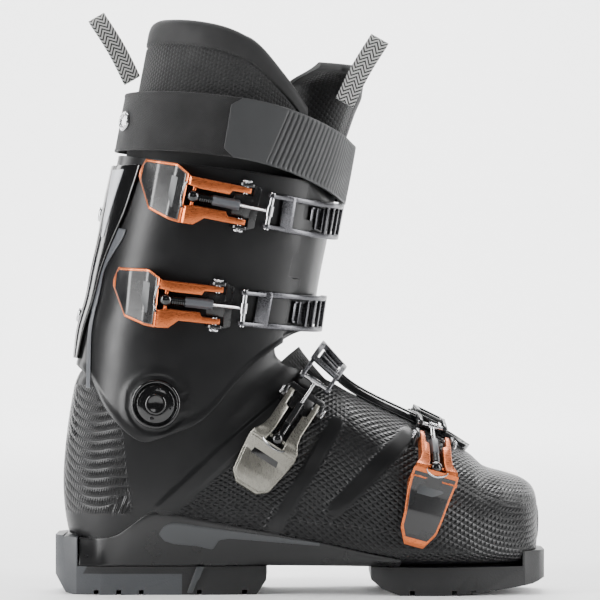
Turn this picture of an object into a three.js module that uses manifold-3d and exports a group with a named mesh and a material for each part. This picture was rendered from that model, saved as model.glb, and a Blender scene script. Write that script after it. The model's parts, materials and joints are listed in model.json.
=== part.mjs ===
// Alpine ski boot, right foot. Millimetres, +Z up, +X to the toe, -Y to the lateral (buckle) side.
// The origin is on the ground, under the middle of the boot's overall length and width, buckles included.
import * as THREE from 'three';
import { mergeVertices } from 'three/addons/utils/BufferGeometryUtils.js';
import Module from 'manifold-3d';

const wasm = await Module();
wasm.setup();

// ---- Driving dimensions -------------------------------------------------------------------
const SOLE_LENGTH = 306;          // boot sole length, heel lug to toe lug
const SOLE_PLANE = 18;            // underside of the shell, where the sole pads seat
const HEEL_PAD_WIDTH = 69;        // ISO 5355 heel
const TOE_PAD_WIDTH = 69;         // ISO 5355 toe lug
const BALL_PAD_WIDTH = 86;
const HEEL_LUG_TOP = 36.5;
const TOE_LUG_TOP = 27;
const HEEL_PAD_FRONT = -21;       // where the heel pad ends at the arch
const TOE_PAD_BACK = 44;          // and where the toe pad begins
const LUG_DEPTH = 15;             // how far each lug reaches in from its end of the sole
const HEEL_LEDGE = 5.4;           // flat top of the heel lug, clear of the shell above it
const LUG_STEP = 1;               // drop from that ledge to the part under the shell
const SHELL_WALL = 4.5;
const CUFF_WALL = 3.4;
const LINER_WALL = 8;
const LINER_SOLE = 6;
const BOARD_THICKNESS = 6;
const FOOTBED_THICKNESS = 4;
const CUFF_PIVOT_X = -88.5;       // ankle pivot of the cuff
const CUFF_PIVOT_Z = 119;
const PIVOT_DISC_RADIUS = 15.4;
const PIVOT_CAP_RADIUS = PIVOT_DISC_RADIUS * 0.72;
const PIVOT_DISC_THICKNESS = 2.6;
const PIVOT_CAP_TOP = 4.2;        // top of the cap over the disc's seat
const CUFF_FRONT_TOP = 255;       // upper edge of the cuff at the shin
const CUFF_BACK_TOP = 273;        // and at the calf
const STRAP_WIDTH = 36;
const STRAP_THICKNESS = 2;
const STRAP_BACK_Z = 293;         // middle of the power strap at the calf
const STRAP_DROP = 30;            // how much lower its middle is at the shin
const OVERLAY_THICKNESS = 2.6;
const WEBBING_WIDTH = 13;
const WEBBING_THICKNESS = 2;
const SCREW_RADIUS = 2.2;
const SCREW_HEAD_RADIUS = 4.2;
const MIDDLE_PLANE_Y = 4;         // the boot's middle plane, from the middle of its overall width
const GAP = 0.35;                 // clearance between pieces that touch
const FLAP_EDGE = 45;             // front edge of the cuff's lateral flap, degrees from the shin
const UNDERLAP = 30;              // how far the medial flap runs on under it, degrees

const LEVER_LENGTH = 64;          // buckle sizes at scale 1
const LEVER_WIDTH = 34;
const ARM_OUTER = 11.8;
const ARM_INNER = 7.6;
const PIVOT_HEIGHT = 5.9;
const LEVER_HEEL = 3.6;           // end of the lever's arms past its pins
const CROSS_PIN_RADIUS = 1.2;     // pin between the arms that the rod hangs on
const BAR_RADIUS = 1.5;           // cross bar at the rod's other end
const TOOTH_HALF = 1.1;           // half width of a ladder tooth, degrees
const HEEL_SWEEP = 5.1;           // reach of the slots that the lever's heel swings through
const STUB_RADIUS = 1.5;
const BALL_OFFSET = 31;
const TBAR_OFFSET = 17;
const TOOTH_GRIP = 0.9;           // how far the hook bar reaches below the ladder's teeth
const HOOK_SPAN = 3;              // width of the hook bar, degrees

const HEEL_END = -SOLE_LENGTH / 2;
const TOE_END = SOLE_LENGTH / 2;
const STEP = 10;                  // angular step of the wrapped pieces

// ---- Small helpers ------------------------------------------------------------------------
const rad = THREE.MathUtils.degToRad;
const lerp = THREE.MathUtils.lerp;
const smoothstep = THREE.MathUtils.smoothstep;
const vec = (x, y, z) => new THREE.Vector3(x, y, z);

// Smooth curve through table rows [key, value, value, ...], read at any key.
function track(table, key) {
  const last = table.length - 1;
  let i = 0;
  while (i < last - 1 && key > table[i + 1][0]) i += 1;
  const slope = (j, c) => {
    const a = table[Math.max(j - 1, 0)];
    const b = table[Math.min(j + 1, last)];
    return (b[c] - a[c]) / (b[0] - a[0]);
  };
  const span = table[i + 1][0] - table[i][0];
  const t = THREE.MathUtils.clamp((key - table[i][0]) / span, 0, 1);
  const t2 = t * t;
  const t3 = t2 * t;
  return table[i].slice(1).map((value, k) => {
    const c = k + 1;
    return (2 * t3 - 3 * t2 + 1) * value + (t3 - 2 * t2 + t) * span * slope(i, c)
      + (3 * t2 - 2 * t3) * table[i + 1][c] + (t3 - t2) * span * slope(i + 1, c);
  });
}

function geometryOf(points, faces) {
  const geometry = new THREE.BufferGeometry();
  const numbers = points.flatMap((p) => p.toArray());
  geometry.setAttribute('position', new THREE.Float32BufferAttribute(numbers, 3));
  geometry.setIndex(faces.flat());
  return geometry;
}

// Manifold from a closed geometry, turned to face outwards.
function solid(geometry) {
  const plain = geometry.clone();
  for (const name of ['normal', 'uv', 'uv1']) plain.deleteAttribute(name);
  const merged = mergeVertices(plain, 1e-4);
  const triVerts = new Uint32Array(merged.index.array);
  const vertProperties = new Float32Array(merged.attributes.position.array);
  let made = new wasm.Manifold(new wasm.Mesh({ numProp: 3, vertProperties, triVerts }));
  if (made.volume() < 0) {
    for (let i = 0; i < triVerts.length; i += 3) {
      [triVerts[i], triVerts[i + 1]] = [triVerts[i + 1], triVerts[i]];
    }
    made = new wasm.Manifold(new wasm.Mesh({ numProp: 3, vertProperties, triVerts }));
  }
  return made;
}

function geometryFrom(manifold) {
  const mesh = manifold.getMesh();
  const geometry = new THREE.BufferGeometry();
  const position = new Float32Array(mesh.numVert * 3);
  for (let i = 0; i < mesh.numVert; i += 1) {
    for (let k = 0; k < 3; k += 1) position[3 * i + k] = mesh.vertProperties[i * mesh.numProp + k];
  }
  geometry.setAttribute('position', new THREE.BufferAttribute(position, 3));
  geometry.setIndex(Array.from(mesh.triVerts));
  return geometry;
}

const box = (x0, x1, y0, y1, z0, z1) => {
  const geometry = new THREE.BoxGeometry(x1 - x0, y1 - y0, z1 - z0);
  geometry.translate((x0 + x1) / 2, (y0 + y1) / 2, (z0 + z1) / 2);
  return solid(geometry);
};

// Cylinder from one point to another.
function rod(from, to, radius, sides = 12) {
  const along = to.clone().sub(from);
  const geometry = new THREE.CylinderGeometry(radius, radius, along.length(), sides);
  geometry.applyQuaternion(new THREE.Quaternion().setFromUnitVectors(vec(0, 1, 0), along.normalize()));
  geometry.translate(...from.clone().add(to).multiplyScalar(0.5).toArray());
  return solid(geometry);
}

// Outline in the ground plane, raised from z0 to z1.
function plate(outline, z0, z1) {
  const shape = new THREE.Shape(outline.map(([x, y]) => new THREE.Vector2(x, y)));
  const geometry = new THREE.ExtrudeGeometry(shape, { depth: z1 - z0, bevelEnabled: false });
  geometry.translate(0, 0, z0);
  return solid(geometry);
}

// Outline in the side view (x, z), run across from y0 to y1.
function profile(outline, y0, y1) {
  const shape = new THREE.Shape(outline.map(([x, z]) => new THREE.Vector2(x, z)));
  const geometry = new THREE.ExtrudeGeometry(shape, { depth: y1 - y0, bevelEnabled: false });
  geometry.rotateX(Math.PI / 2);
  geometry.translate(0, y1, 0);
  return solid(geometry);
}

// Closed skin between two grids of points. A ring joins its last column to its first.
function skin(outer, inner, rows, cols, ring = false) {
  const points = [];
  const wide = ring ? cols : cols + 1;
  for (const face of [outer, inner]) {
    for (let r = 0; r <= rows; r += 1) {
      for (let c = 0; c < wide; c += 1) points.push(face(r, c));
    }
  }
  const base = (rows + 1) * wide;
  const at = (side, r, c) => side * base + r * wide + (c % wide);
  const faces = [];
  const quad = (a, b, c, d) => faces.push([a, b, c], [a, c, d]);
  for (let r = 0; r < rows; r += 1) {
    for (let c = 0; c < cols; c += 1) {
      quad(at(0, r, c), at(0, r, c + 1), at(0, r + 1, c + 1), at(0, r + 1, c));
      quad(at(1, r, c), at(1, r + 1, c), at(1, r + 1, c + 1), at(1, r, c + 1));
    }
    if (!ring) {
      quad(at(0, r, 0), at(0, r + 1, 0), at(1, r + 1, 0), at(1, r, 0));
      quad(at(0, r, cols), at(1, r, cols), at(1, r + 1, cols), at(0, r + 1, cols));
    }
  }
  for (let c = 0; c < cols; c += 1) {
    quad(at(0, 0, c), at(1, 0, c), at(1, 0, c + 1), at(0, 0, c + 1));
    quad(at(0, rows, c), at(0, rows, c + 1), at(1, rows, c + 1), at(1, rows, c));
  }
  return solid(geometryOf(points, faces));
}

// Closed loft through rings of points, with a flat fan at each end.
function loft(point, rows, cols) {
  const points = [];
  for (let r = 0; r <= rows; r += 1) {
    for (let c = 0; c < cols; c += 1) points.push(point(r, c));
  }
  const faces = [];
  for (let r = 0; r < rows; r += 1) {
    for (let c = 0; c < cols; c += 1) {
      const next = (c + 1) % cols;
      faces.push([r * cols + c, r * cols + next, (r + 1) * cols + next]);
      faces.push([r * cols + c, (r + 1) * cols + next, (r + 1) * cols + c]);
    }
  }
  for (const [r, turn] of [[0, true], [rows, false]]) {
    const middle = vec(0, 0, 0);
    for (let c = 0; c < cols; c += 1) middle.addScaledVector(points[r * cols + c], 1 / cols);
    points.push(middle);
    for (let c = 0; c < cols; c += 1) {
      const a = r * cols + c;
      const b = r * cols + (c + 1) % cols;
      faces.push(turn ? [points.length - 1, b, a] : [points.length - 1, a, b]);
    }
  }
  return solid(geometryOf(points, faces));
}

// ---- Boot surfaces ------------------------------------------------------------------------
// A section is an oval from a back or bottom point to a front or top point. Round it, the angle
// is 0 at the front or top, 90 at the lateral side, 180 at the back or bottom, 270 medial.

// Lower shell, from toe to ankle collar:
// [station, back x, back z, top x, top z, half width, middle y, widest at, power below, above]
const SHELL = [
  [0, 149, 32, 149.3, 54, 9, 4, 0.5, 2.4, 2.4],
  [0.5, 148, 24, 148.3, 61, 19, 4, 0.48, 2.8, 2.4],
  [1, 145, 19, 145.6, 66.5, 28, 4, 0.44, 3.4, 2.4],
  [2, 137, 18, 138.5, 71.5, 37, 3, 0.4, 4, 2.4],
  [3, 123, 18, 126, 75.5, 45, 2, 0.38, 4.4, 2.4],
  [3.6, 112, 18, 115, 79, 49, 1, 0.36, 4.4, 2.3],
  [4, 104, 18, 107, 86, 51, 0, 0.35, 4.4, 2.2],
  [5, 82, 18, 88, 98.5, 54.5, -1, 0.34, 4.4, 2.1],
  [6, 56, 18, 66, 109.5, 55, -1, 0.34, 4.4, 2.1],
  [7, 27, 18, 46, 119, 52, 0, 0.36, 4, 2.1],
  [8, -6, 18, 31, 127.5, 48, 0, 0.38, 3.6, 2.1],
  [9, -44, 18, 20, 137, 45.5, 0, 0.42, 3.2, 2.1],
  [10, -85, 18, 12, 146, 44.5, 0, 0.46, 3, 2.1],
  [11, -120, 18.3, 6, 153.5, 45, 0, 0.5, 2.8, 2.1],
  [11.5, -137, 21.5, 4, 156.5, 45, 0, 0.51, 2.6, 2.1],
  [12, -145, 36, 2, 159, 45.2, 0, 0.52, 2.4, 2.1],
  [13, -149, 64, 0.5, 161.5, 45.4, 0, 0.53, 2.2, 2.2],
  [14, -147.5, 95, 0, 163, 45.4, 0, 0.53, 2.05, 2.2],
  [15, -142.5, 128, -0.4, 164.2, 45.2, 0, 0.52, 2, 2.2],
  [15.4, -139, 137, -0.6, 165, 45, 0, 0.51, 2.05, 2.2],
  [16, -131.5, 146, -0.8, 166, 45.8, 0, 0.5, 2.3, 2.3],
  [17, -127, 160, -1, 168, 45.6, 0, 0.5, 2.3, 2.3],
];
const SHELL_END = 17;

// Inside of the cuff, at a height: [z, back x, front x, half width, power]
const SHAFT = [
  [88, -141, -6, 46.8, 2.3],
  [119, -139, -1, 47.6, 2.3],
  [150, -136, 2.5, 47.8, 2.3],
  [165, -134, 4, 48, 2.3],
  [183, -129, 6.5, 48.6, 2.3],
  [202, -125.3, 9.8, 49.6, 2.3],
  [220, -121.5, 13.5, 51, 2.3],
  [245, -117, 18.2, 53, 2.2],
  [263, -113, 21.8, 54.4, 2.2],
  [281, -109.5, 25, 55.6, 2.2],
  [300, -106, 28, 56.6, 2.2],
  [331, -100, 32, 57.6, 2.2],
  [364, -94, 36, 58, 2.2],
];

function ovalPoint(back, front, width, middle, widest, powerBack, powerFront, angle) {
  const c = Math.cos(rad(angle));
  const s = Math.sin(rad(angle));
  const power = 2 / (c >= 0 ? powerFront : powerBack);
  const along = front.clone().sub(back);
  const reach = c >= 0 ? 1 - widest : -widest;
  const point = back.clone().addScaledVector(along, widest + reach * Math.abs(c) ** power);
  point.y = middle - width * Math.sign(s) * Math.abs(s) ** power;
  return point;
}

const shellRaw = (key, angle) => {
  const [bx, bz, tx, tz, w, mid, widest, low, high] = track(SHELL, key);
  return ovalPoint(vec(bx, 0, bz), vec(tx, 0, tz), w, mid, widest, low, high, angle);
};
const shaftRaw = (key, angle) => {
  const [xb, xf, w, power] = track(SHAFT, key);
  return ovalPoint(vec(xb, 0, key), vec(xf, 0, key), w, 0, 0.5, power, power, angle);
};

// The same surface, moved out along its own normal.
function offsetSurface(raw, first, last, keyStep, angleStep) {
  return (key, angle, offset) => {
    const point = raw(key, angle);
    const k0 = Math.max(key - keyStep, first);
    const k1 = Math.min(key + keyStep, last);
    const up = raw(k1, angle).sub(raw(k0, angle));
    const round = raw(key, angle + angleStep).sub(raw(key, angle - angleStep));
    const normal = up.cross(round).normalize();
    return point.addScaledVector(normal, offset);
  };
}
const onShaft = offsetSurface(shaftRaw, SHAFT[0][0], SHAFT[SHAFT.length - 1][0], 3, 4);
const onShell = offsetSurface(shellRaw, 0, SHELL_END, 0.12, 4);

// Solid inside the shell surface moved by an offset, from one station to another, with its end
// ring raised by lift.
function shellBody(offset, first, last, lift = 0, cols = 20) {
  const stations = [first];
  for (const [key] of SHELL) {
    if (key > first + 0.2 && key < last - 0.2) stations.push(key);
  }
  stations.push(last, last);
  const end = stations.length - 1;
  const point = (r, c) => {
    const place = onShell(stations[r], (360 / cols) * c, offset);
    if (r === end) place.z += lift;
    return place;
  };
  return loft(point, lift > 0 ? end : end - 1, cols);
}

const pieces = new THREE.Group();
function add(name, manifold, material) {
  const mesh = new THREE.Mesh(geometryFrom(manifold), material);
  mesh.name = name;
  pieces.add(mesh);
}
const finish = (color, roughness, metalness = 0) => (
  new THREE.MeshStandardMaterial({ color, roughness, metalness }));
const SHELL_PLASTIC = finish(0x222222, 0.5);
const GLOSS_PLASTIC = finish(0x101010, 0.15);
const TRIM_PLASTIC = finish(0x4a4c50, 0.35);
const SOLE_RUBBER = finish(0x1b1b1b, 0.8);
const LINER_FABRIC = finish(0x181818, 0.9);
const STRAP_FABRIC = finish(0x161616, 0.9);
const STRAP_RUBBER = finish(0x4a4a4a, 0.6);
const WEBBING = finish(0x8c8c8c, 0.9);
const COPPER = finish(0xb5653f, 0.35, 0.6);
const TITANIUM = finish(0x8f8d85, 0.35, 0.9);
const STEEL = finish(0xb0b0b0, 0.3, 1);
const GUNMETAL = finish(0x5a5a5a, 0.35, 0.9);
const FOAM = finish(0x33373a, 0.9);

// ---- Lower shell --------------------------------------------------------------------------
const throatHalf = (key) => lerp(9, 42, smoothstep(key, 6, 13));

// Wedge of the shell's wall round its upper front, from one station to above the collar.
function throatCut(first, narrower, outside, inside) {
  const rows = 9;
  const at = (offset) => (r, c) => {
    const key = lerp(first, SHELL_END, Math.min(r / (rows - 1), 1));
    const half = throatHalf(key) - narrower;
    const place = onShell(key, lerp(-half, half, c / 4), offset);
    if (r === rows) place.z += 20;
    return place;
  };
  return skin(at(outside), at(inside), rows, 4);
}

// Screws through the sole pads: [x, y]
const HEEL_SCREWS = [[-84, 0], [-46, 0]];
const TOE_SCREWS = [[84, 20], [84, -20]];
const SCREW_TOP = SOLE_PLANE + SHELL_WALL - 0.6;
const SCREW_HEAD_Z = 6;
const SCREW_HEAD_HEIGHT = 3;

const heelSeat = box(HEEL_END - 5, HEEL_END + LUG_DEPTH, -60, 60, 0, HEEL_LUG_TOP + GAP);
const toeSeat = box(TOE_END - LUG_DEPTH, TOE_END + 5, -60, 60, 0, TOE_LUG_TOP + GAP);
const screwBore = ([x, y]) => rod(vec(x, y, -5), vec(x, y, SCREW_TOP + GAP), SCREW_RADIUS + GAP, 10);
const headBore = ([x, y]) => {
  const top = SCREW_HEAD_Z + SCREW_HEAD_HEIGHT + GAP;
  return rod(vec(x, y, -5), vec(x, y, top), SCREW_HEAD_RADIUS + GAP, 12);
};

// Wall that stays over the heel lug, inside the shell.
const lugWall = (gap) => {
  const front = HEEL_END + LUG_DEPTH + SHELL_WALL + gap;
  return box(-200, front, -90, 90, 0, HEEL_LUG_TOP + SHELL_WALL + gap);
};

const cavity = shellBody(-SHELL_WALL, 0.75, SHELL_END, 30).subtract(lugWall(0));
let lowerShell = shellBody(0, 0, SHELL_END).subtract(cavity);
lowerShell = lowerShell.subtract(heelSeat).subtract(toeSeat).subtract(throatCut(5.6, 0, 6, -14));
for (const spot of [...HEEL_SCREWS, ...TOE_SCREWS]) lowerShell = lowerShell.subtract(screwBore(spot));

// Ankle pivots: a stud in the shell, and the disc that the cuff turns on.
const PIVOT_STUD = 6;
const studEnd = SHAFT[1][3] - 5.4;
const discSeat = SHAFT[1][3] + 7.6;
for (const side of [-1, 1]) {
  const at = (y) => vec(CUFF_PIVOT_X, side * y, CUFF_PIVOT_Z);
  lowerShell = lowerShell.subtract(rod(at(studEnd - 5), at(70), PIVOT_STUD + GAP, 16));
}
add('lower_shell', lowerShell, SHELL_PLASTIC);

// Overlap gasket on the ridge of the instep, over the shell's slot.
const GASKET = { half: 13, under: GAP, thickness: 3, first: 4.15, last: 8.9 };
const gasketFace = (offset) => (r, c) => {
  const key = lerp(GASKET.first, GASKET.last, r / 8);
  return onShell(key, lerp(-GASKET.half, GASKET.half, c / 4), offset);
};
const gasketTop = GASKET.under + GASKET.thickness;
add('instep_gasket', skin(gasketFace(gasketTop), gasketFace(GASKET.under), 8, 4), GLOSS_PLASTIC);

// ---- Sole ---------------------------------------------------------------------------------
// Plan outline with a round end: half widths at stations along x, mirrored.
function planOutline(halfWidths) {
  const side = halfWidths.map(([x, y]) => [x, -y]);
  return [...side, ...halfWidths.slice().reverse()];
}
// Half width of each pad along the boot: [x, half width]
const HEEL_PLAN = [
  [HEEL_END, 16],
  [HEEL_END + 5, 24],
  [HEEL_END + 14, 31],
  [HEEL_END + 30, HEEL_PAD_WIDTH / 2],
  [-50, HEEL_PAD_WIDTH / 2 - 1],
  [HEEL_PAD_FRONT, HEEL_PAD_WIDTH / 2 - 4],
];
const TOE_PLAN = [
  [TOE_PAD_BACK, 38],
  [60, BALL_PAD_WIDTH / 2 - 1],
  [85, BALL_PAD_WIDTH / 2],
  [110, 40],
  [TOE_END - 25, TOE_PAD_WIDTH / 2],
  [TOE_END - 13, 30.5],
  [TOE_END - 4, 22],
  [TOE_END, 13],
];
// Side view of each pad: [x, z]
const padTop = SOLE_PLANE - GAP;
const heelStep = HEEL_END + LUG_DEPTH - GAP;
const toeStep = TOE_END - LUG_DEPTH + GAP;
const heelSide = [
  [HEEL_END, 12], [HEEL_END + 7, 1], [HEEL_END + 12, 0],
  [HEEL_PAD_FRONT - 6, 0], [HEEL_PAD_FRONT, 9], [HEEL_PAD_FRONT, padTop],
  [heelStep, padTop], [heelStep, HEEL_LUG_TOP - LUG_STEP],
  [HEEL_END + HEEL_LEDGE, HEEL_LUG_TOP - LUG_STEP],
  [HEEL_END + HEEL_LEDGE, HEEL_LUG_TOP], [HEEL_END, HEEL_LUG_TOP],
];
const toeSide = [
  [TOE_PAD_BACK, 10], [51, 4], [62, 0], [92, 0], [118, 2.2], [TOE_END - 8, 6.4], [TOE_END, 9.5],
  [TOE_END, TOE_LUG_TOP], [toeStep, TOE_LUG_TOP], [toeStep, padTop], [TOE_PAD_BACK, padTop],
];
const TREAD_DEPTH = 3;
const TREAD_SLOT = 3;
function solePad(plan, side, slots, screws) {
  let pad = plate(planOutline(plan), -1, 45).intersect(profile(side, -60, 60));
  for (const x of slots) pad = pad.subtract(box(x, x + TREAD_SLOT, -60, 60, -1, TREAD_DEPTH));
  for (const spot of screws) pad = pad.subtract(screwBore(spot)).subtract(headBore(spot));
  return pad;
}
const heelSlots = [-128, -114, -100, -64, -36];
const toeSlots = [68, 94, 106, 118, 130];
add('heel_sole_pad', solePad(HEEL_PLAN, heelSide, heelSlots, HEEL_SCREWS), SOLE_RUBBER);
add('toe_sole_pad', solePad(TOE_PLAN, toeSide, toeSlots, TOE_SCREWS), SOLE_RUBBER);
const soleScrew = ([x, y]) => {
  const at = (z) => vec(x, y, z);
  const head = rod(at(SCREW_HEAD_Z), at(SCREW_HEAD_Z + SCREW_HEAD_HEIGHT), SCREW_HEAD_RADIUS);
  return head.add(rod(at(SCREW_HEAD_Z + 1), at(SCREW_TOP), SCREW_RADIUS, 10));
};
HEEL_SCREWS.forEach((spot, i) => add(`heel_sole_screw_${i + 1}`, soleScrew(spot), STEEL));
TOE_SCREWS.forEach((spot, i) => add(`toe_sole_screw_${i + 1}`, soleScrew(spot), STEEL));

// Trim inlay along each side of the sole frame, on the shell's wall.
const INLAY_LIFT = 0.9;
function soleInlay(side) {
  const cols = 10;
  const ends = [[-86, 50, 43], [12, 37, 29]];
  const edge = (c) => ends[0].map((value, k) => lerp(value, ends[1][k], c / cols));
  const face = (offset) => (r, c) => {
    const [x, top, bottom] = edge(c);
    const z = lerp(bottom, top, r / 2) + 5 * Math.sin((Math.PI * c) / cols) * (r / 2 - 0.6);
    return shellSpot(x, z, side, offset);
  };
  return skin(face(INLAY_LIFT + 1.2), face(INLAY_LIFT), 2, cols);
}

// Place on the shell's side wall at a given x and z, moved out by an offset.
function shellSpot(x, z, side, offset) {
  let key = 9;
  let angle = 110;
  for (let i = 0; i < 40; i += 1) {
    const here = onShell(key, angle, offset);
    const dk = onShell(key + 0.05, angle, offset).sub(here).divideScalar(0.05);
    const da = onShell(key, angle + 0.5, offset).sub(here).divideScalar(0.5);
    const ex = x - here.x;
    const ez = z - here.z;
    const det = dk.x * da.z - da.x * dk.z;
    key = THREE.MathUtils.clamp(key + 0.5 * (ex * da.z - ez * da.x) / det, 0.2, SHELL_END - 0.2);
    angle = THREE.MathUtils.clamp(angle + 0.5 * (dk.x * ez - dk.z * ex) / det, 3, 177);
  }
  const place = onShell(key, side < 0 ? angle : 360 - angle, offset);
  return place;
}
add('sole_inlay_lateral', soleInlay(-1), TRIM_PLASTIC);
add('sole_inlay_medial', soleInlay(1), TRIM_PLASTIC);

// ---- Inside the shell ---------------------------------------------------------------------
const boardFoot = SOLE_PLANE + SHELL_WALL + GAP;
const linerFoot = boardFoot + BOARD_THICKNESS + GAP;
const linerFloor = linerFoot + LINER_SOLE;
const linerOut = -SHELL_WALL - GAP;
const linerIn = linerOut - LINER_WALL;
const slab = (z0, z1) => box(-200, 200, -90, 90, z0, z1);
const FOOT_LINER_TOP = 166;
const boardRoom = box(-200, TOE_END - LUG_DEPTH - GAP, -90, 90, boardFoot, boardFoot + BOARD_THICKNESS);
const board = shellBody(linerOut, 1, 13).intersect(boardRoom).subtract(lugWall(GAP));
add('boot_board', board, FOAM);
const footSolid = shellBody(linerOut, 1, SHELL_END, 30).intersect(slab(linerFoot, FOOT_LINER_TOP));
const footRoom = shellBody(linerIn, 1.5, SHELL_END, 30).intersect(slab(linerFloor, 250));
const footOpening = throatCut(5.6, -3.5, 6, linerIn - 16);
add('foot_liner', footSolid.subtract(lugWall(GAP)).subtract(footRoom).subtract(footOpening), LINER_FABRIC);
const footbedBlank = shellBody(linerIn - GAP, 2.4, 12);
const footbedLayer = slab(linerFloor + GAP, linerFloor + GAP + FOOTBED_THICKNESS);
add('footbed', footbedBlank.intersect(footbedLayer).subtract(lugWall(GAP)), FOAM);

// Tongue over the instep, in the liner's slot.
const instepTongueFace = (offset) => (r, c) => {
  const key = lerp(6.1, 11.6, r / 6);
  const half = throatHalf(key) - 1.5;
  return onShell(key, lerp(-half, half, c / 6), offset);
};
const instepTongue = skin(instepTongueFace(linerOut - 0.9), instepTongueFace(linerIn), 6, 6);
add('instep_tongue', instepTongue, LINER_FABRIC);

// ---- Cuff ---------------------------------------------------------------------------------
// Lower edge, by the angle round from the shin: [angle, z]
const CUFF_LOWER = [
  [0, 165], [35, 162], [58, 147], [70, 132], [83, 110], [99.5, 97.5],
  [109, 96.5], [126, 111], [147, 134], [165, 141], [180, 142],
];
const around = (angle) => {
  const turn = ((angle % 360) + 360) % 360;
  return turn > 180 ? 360 - turn : turn;
};
const cuffLower = (angle) => track(CUFF_LOWER, around(angle))[0];
const cuffUpper = (angle) => lerp(CUFF_FRONT_TOP, CUFF_BACK_TOP, (1 - Math.cos(rad(around(angle)))) / 2);
const flapStep = CUFF_WALL + 0.4;
// The wall spirals out from the back so that the lateral flap lies over the medial one.
const cuffInside = (angle) => flapStep * (1 - smoothstep(angle, FLAP_EDGE + 30, 180));
const cuffRows = 7;
const cuffCols = (360 + UNDERLAP) / STEP;
const cuffFace = (offset) => (r, c) => {
  const angle = FLAP_EDGE + STEP * c;
  const z = lerp(cuffLower(angle), cuffUpper(angle), r / cuffRows);
  return onShaft(z, angle, cuffInside(angle) + offset);
};
let cuff = skin(cuffFace(CUFF_WALL), cuffFace(0), cuffRows, cuffCols);
for (const side of [-1, 1]) {
  const at = (y) => vec(CUFF_PIVOT_X, side * y, CUFF_PIVOT_Z);
  cuff = cuff.subtract(rod(at(studEnd - 5), at(70), PIVOT_STUD + 2 * GAP, 16));
}
add('cuff', cuff, SHELL_PLASTIC);

for (const [side, name] of [[-1, 'lateral'], [1, 'medial']]) {
  const at = (y) => vec(CUFF_PIVOT_X, side * y, CUFF_PIVOT_Z);
  const seat = side < 0 ? discSeat : discSeat - 3.2;
  const disc = rod(at(seat), at(seat + PIVOT_DISC_THICKNESS), PIVOT_DISC_RADIUS, 24);
  const shaft = rod(at(studEnd), at(seat + 1), PIVOT_STUD, 16);
  const cap = rod(at(seat + PIVOT_DISC_THICKNESS + GAP), at(seat + PIVOT_CAP_TOP), PIVOT_CAP_RADIUS, 24);
  add(`${name}_ankle_pivot`, disc.add(shaft), GLOSS_PLASTIC);
  add(`${name}_pivot_cap`, cap, GLOSS_PLASTIC);
}

// Glossy spine up the back of the cuff: [z, half angle]
const SPINE = [[146, 16], [165, 22], [200, 27], [218, 33], [236, 40], [252, 43], [266, 45]];
const spineUnder = CUFF_WALL + 2 * GAP;
const SPINE_THICKNESS = 2.6;
const spineFace = (offset) => (r, c) => {
  const z = lerp(SPINE[0][0], SPINE[SPINE.length - 1][0], r / 7);
  const half = track(SPINE, z)[0];
  const angle = lerp(180 - half, 180 + half, c / 10);
  return onShaft(z, angle, Math.max(cuffInside(angle), 0) + offset);
};
add('rear_spine', skin(spineFace(spineUnder + SPINE_THICKNESS), spineFace(spineUnder), 7, 10), GLOSS_PLASTIC);

// Direction out from the shaft surface.
function shaftNormal(z, angle) {
  return onShaft(z, angle, 1).sub(onShaft(z, angle, 0)).normalize();
}
function stud(z, angle, offset, height, radius, sides = 12) {
  const foot = onShaft(z, angle, offset);
  return rod(foot, foot.clone().addScaledVector(shaftNormal(z, angle), height), radius, sides);
}
const spineTop = spineUnder + SPINE_THICKNESS + GAP;
add('spine_screw_upper', stud(236, 180, spineTop, 1.8, 5), STEEL);
add('spine_screw_lower', stud(172, 180, spineTop, 1.8, 5), STEEL);

// ---- Liner shaft and tongue ---------------------------------------------------------------
// Top rim of the liner by angle, and its lower edge, which leaves room for the cuff to flex.
const LINER_RIM = [
  [0, 292], [40, 298], [50, 303], [68, 322], [90, 345], [112, 354], [150, 358], [180, 357],
];
const SHAFT_LINER_FOOT = 172;
const FLEX_ROOM = 5;
const linerEdge = 50;
const shaftLinerFace = (offset) => (r, c) => {
  const angle = linerEdge + ((360 - 2 * linerEdge) * c) / 24;
  const top = track(LINER_RIM, around(angle))[0];
  const bottom = SHAFT_LINER_FOOT + FLEX_ROOM * (1 + Math.cos(rad(angle)));
  return onShaft(lerp(bottom, top, r / 6), angle, offset);
};
const shaftLinerOut = -1.2;
const shaftLinerIn = -11;
add('shaft_liner', skin(shaftLinerFace(shaftLinerOut), shaftLinerFace(shaftLinerIn), 6, 24), LINER_FABRIC);

// Shin tongue: its middle flares forward above the cuff, its sides tuck in behind the liner.
const TONGUE_FLARE = [
  [188, -1.6], [245, -1.6], [256, -1.2], [268, 0.8], [281, 3], [300, 6.5], [316, 10.5], [330, 9],
];
const TONGUE_HALF = [[188, 44], [240, 52], [281, 56], [300, 58], [316, 58], [330, 48]];
const TONGUE_THICKNESS = 9;
const tongueTuck = shaftLinerIn - 0.6;
const shinTongueFace = (depth) => (r, c) => {
  const z = lerp(188, 330, r / 8);
  const half = track(TONGUE_HALF, z)[0];
  const angle = lerp(-half, half, c / 10);
  const open = smoothstep(z, 314, 328);
  const sides = lerp(tongueTuck, track(TONGUE_FLARE, z)[0] - 3, open);
  const out = lerp(track(TONGUE_FLARE, z)[0], sides, smoothstep(Math.abs(angle), 22, 44));
  return onShaft(z, angle, out - depth);
};
add('shin_tongue', skin(shinTongueFace(0), shinTongueFace(TONGUE_THICKNESS), 8, 10), LINER_FABRIC);

// ---- Power strap and pull loops -----------------------------------------------------------
const strapMiddle = (angle) => STRAP_BACK_Z - STRAP_DROP * ((1 + Math.cos(rad(angle))) / 2) ** 3;
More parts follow.
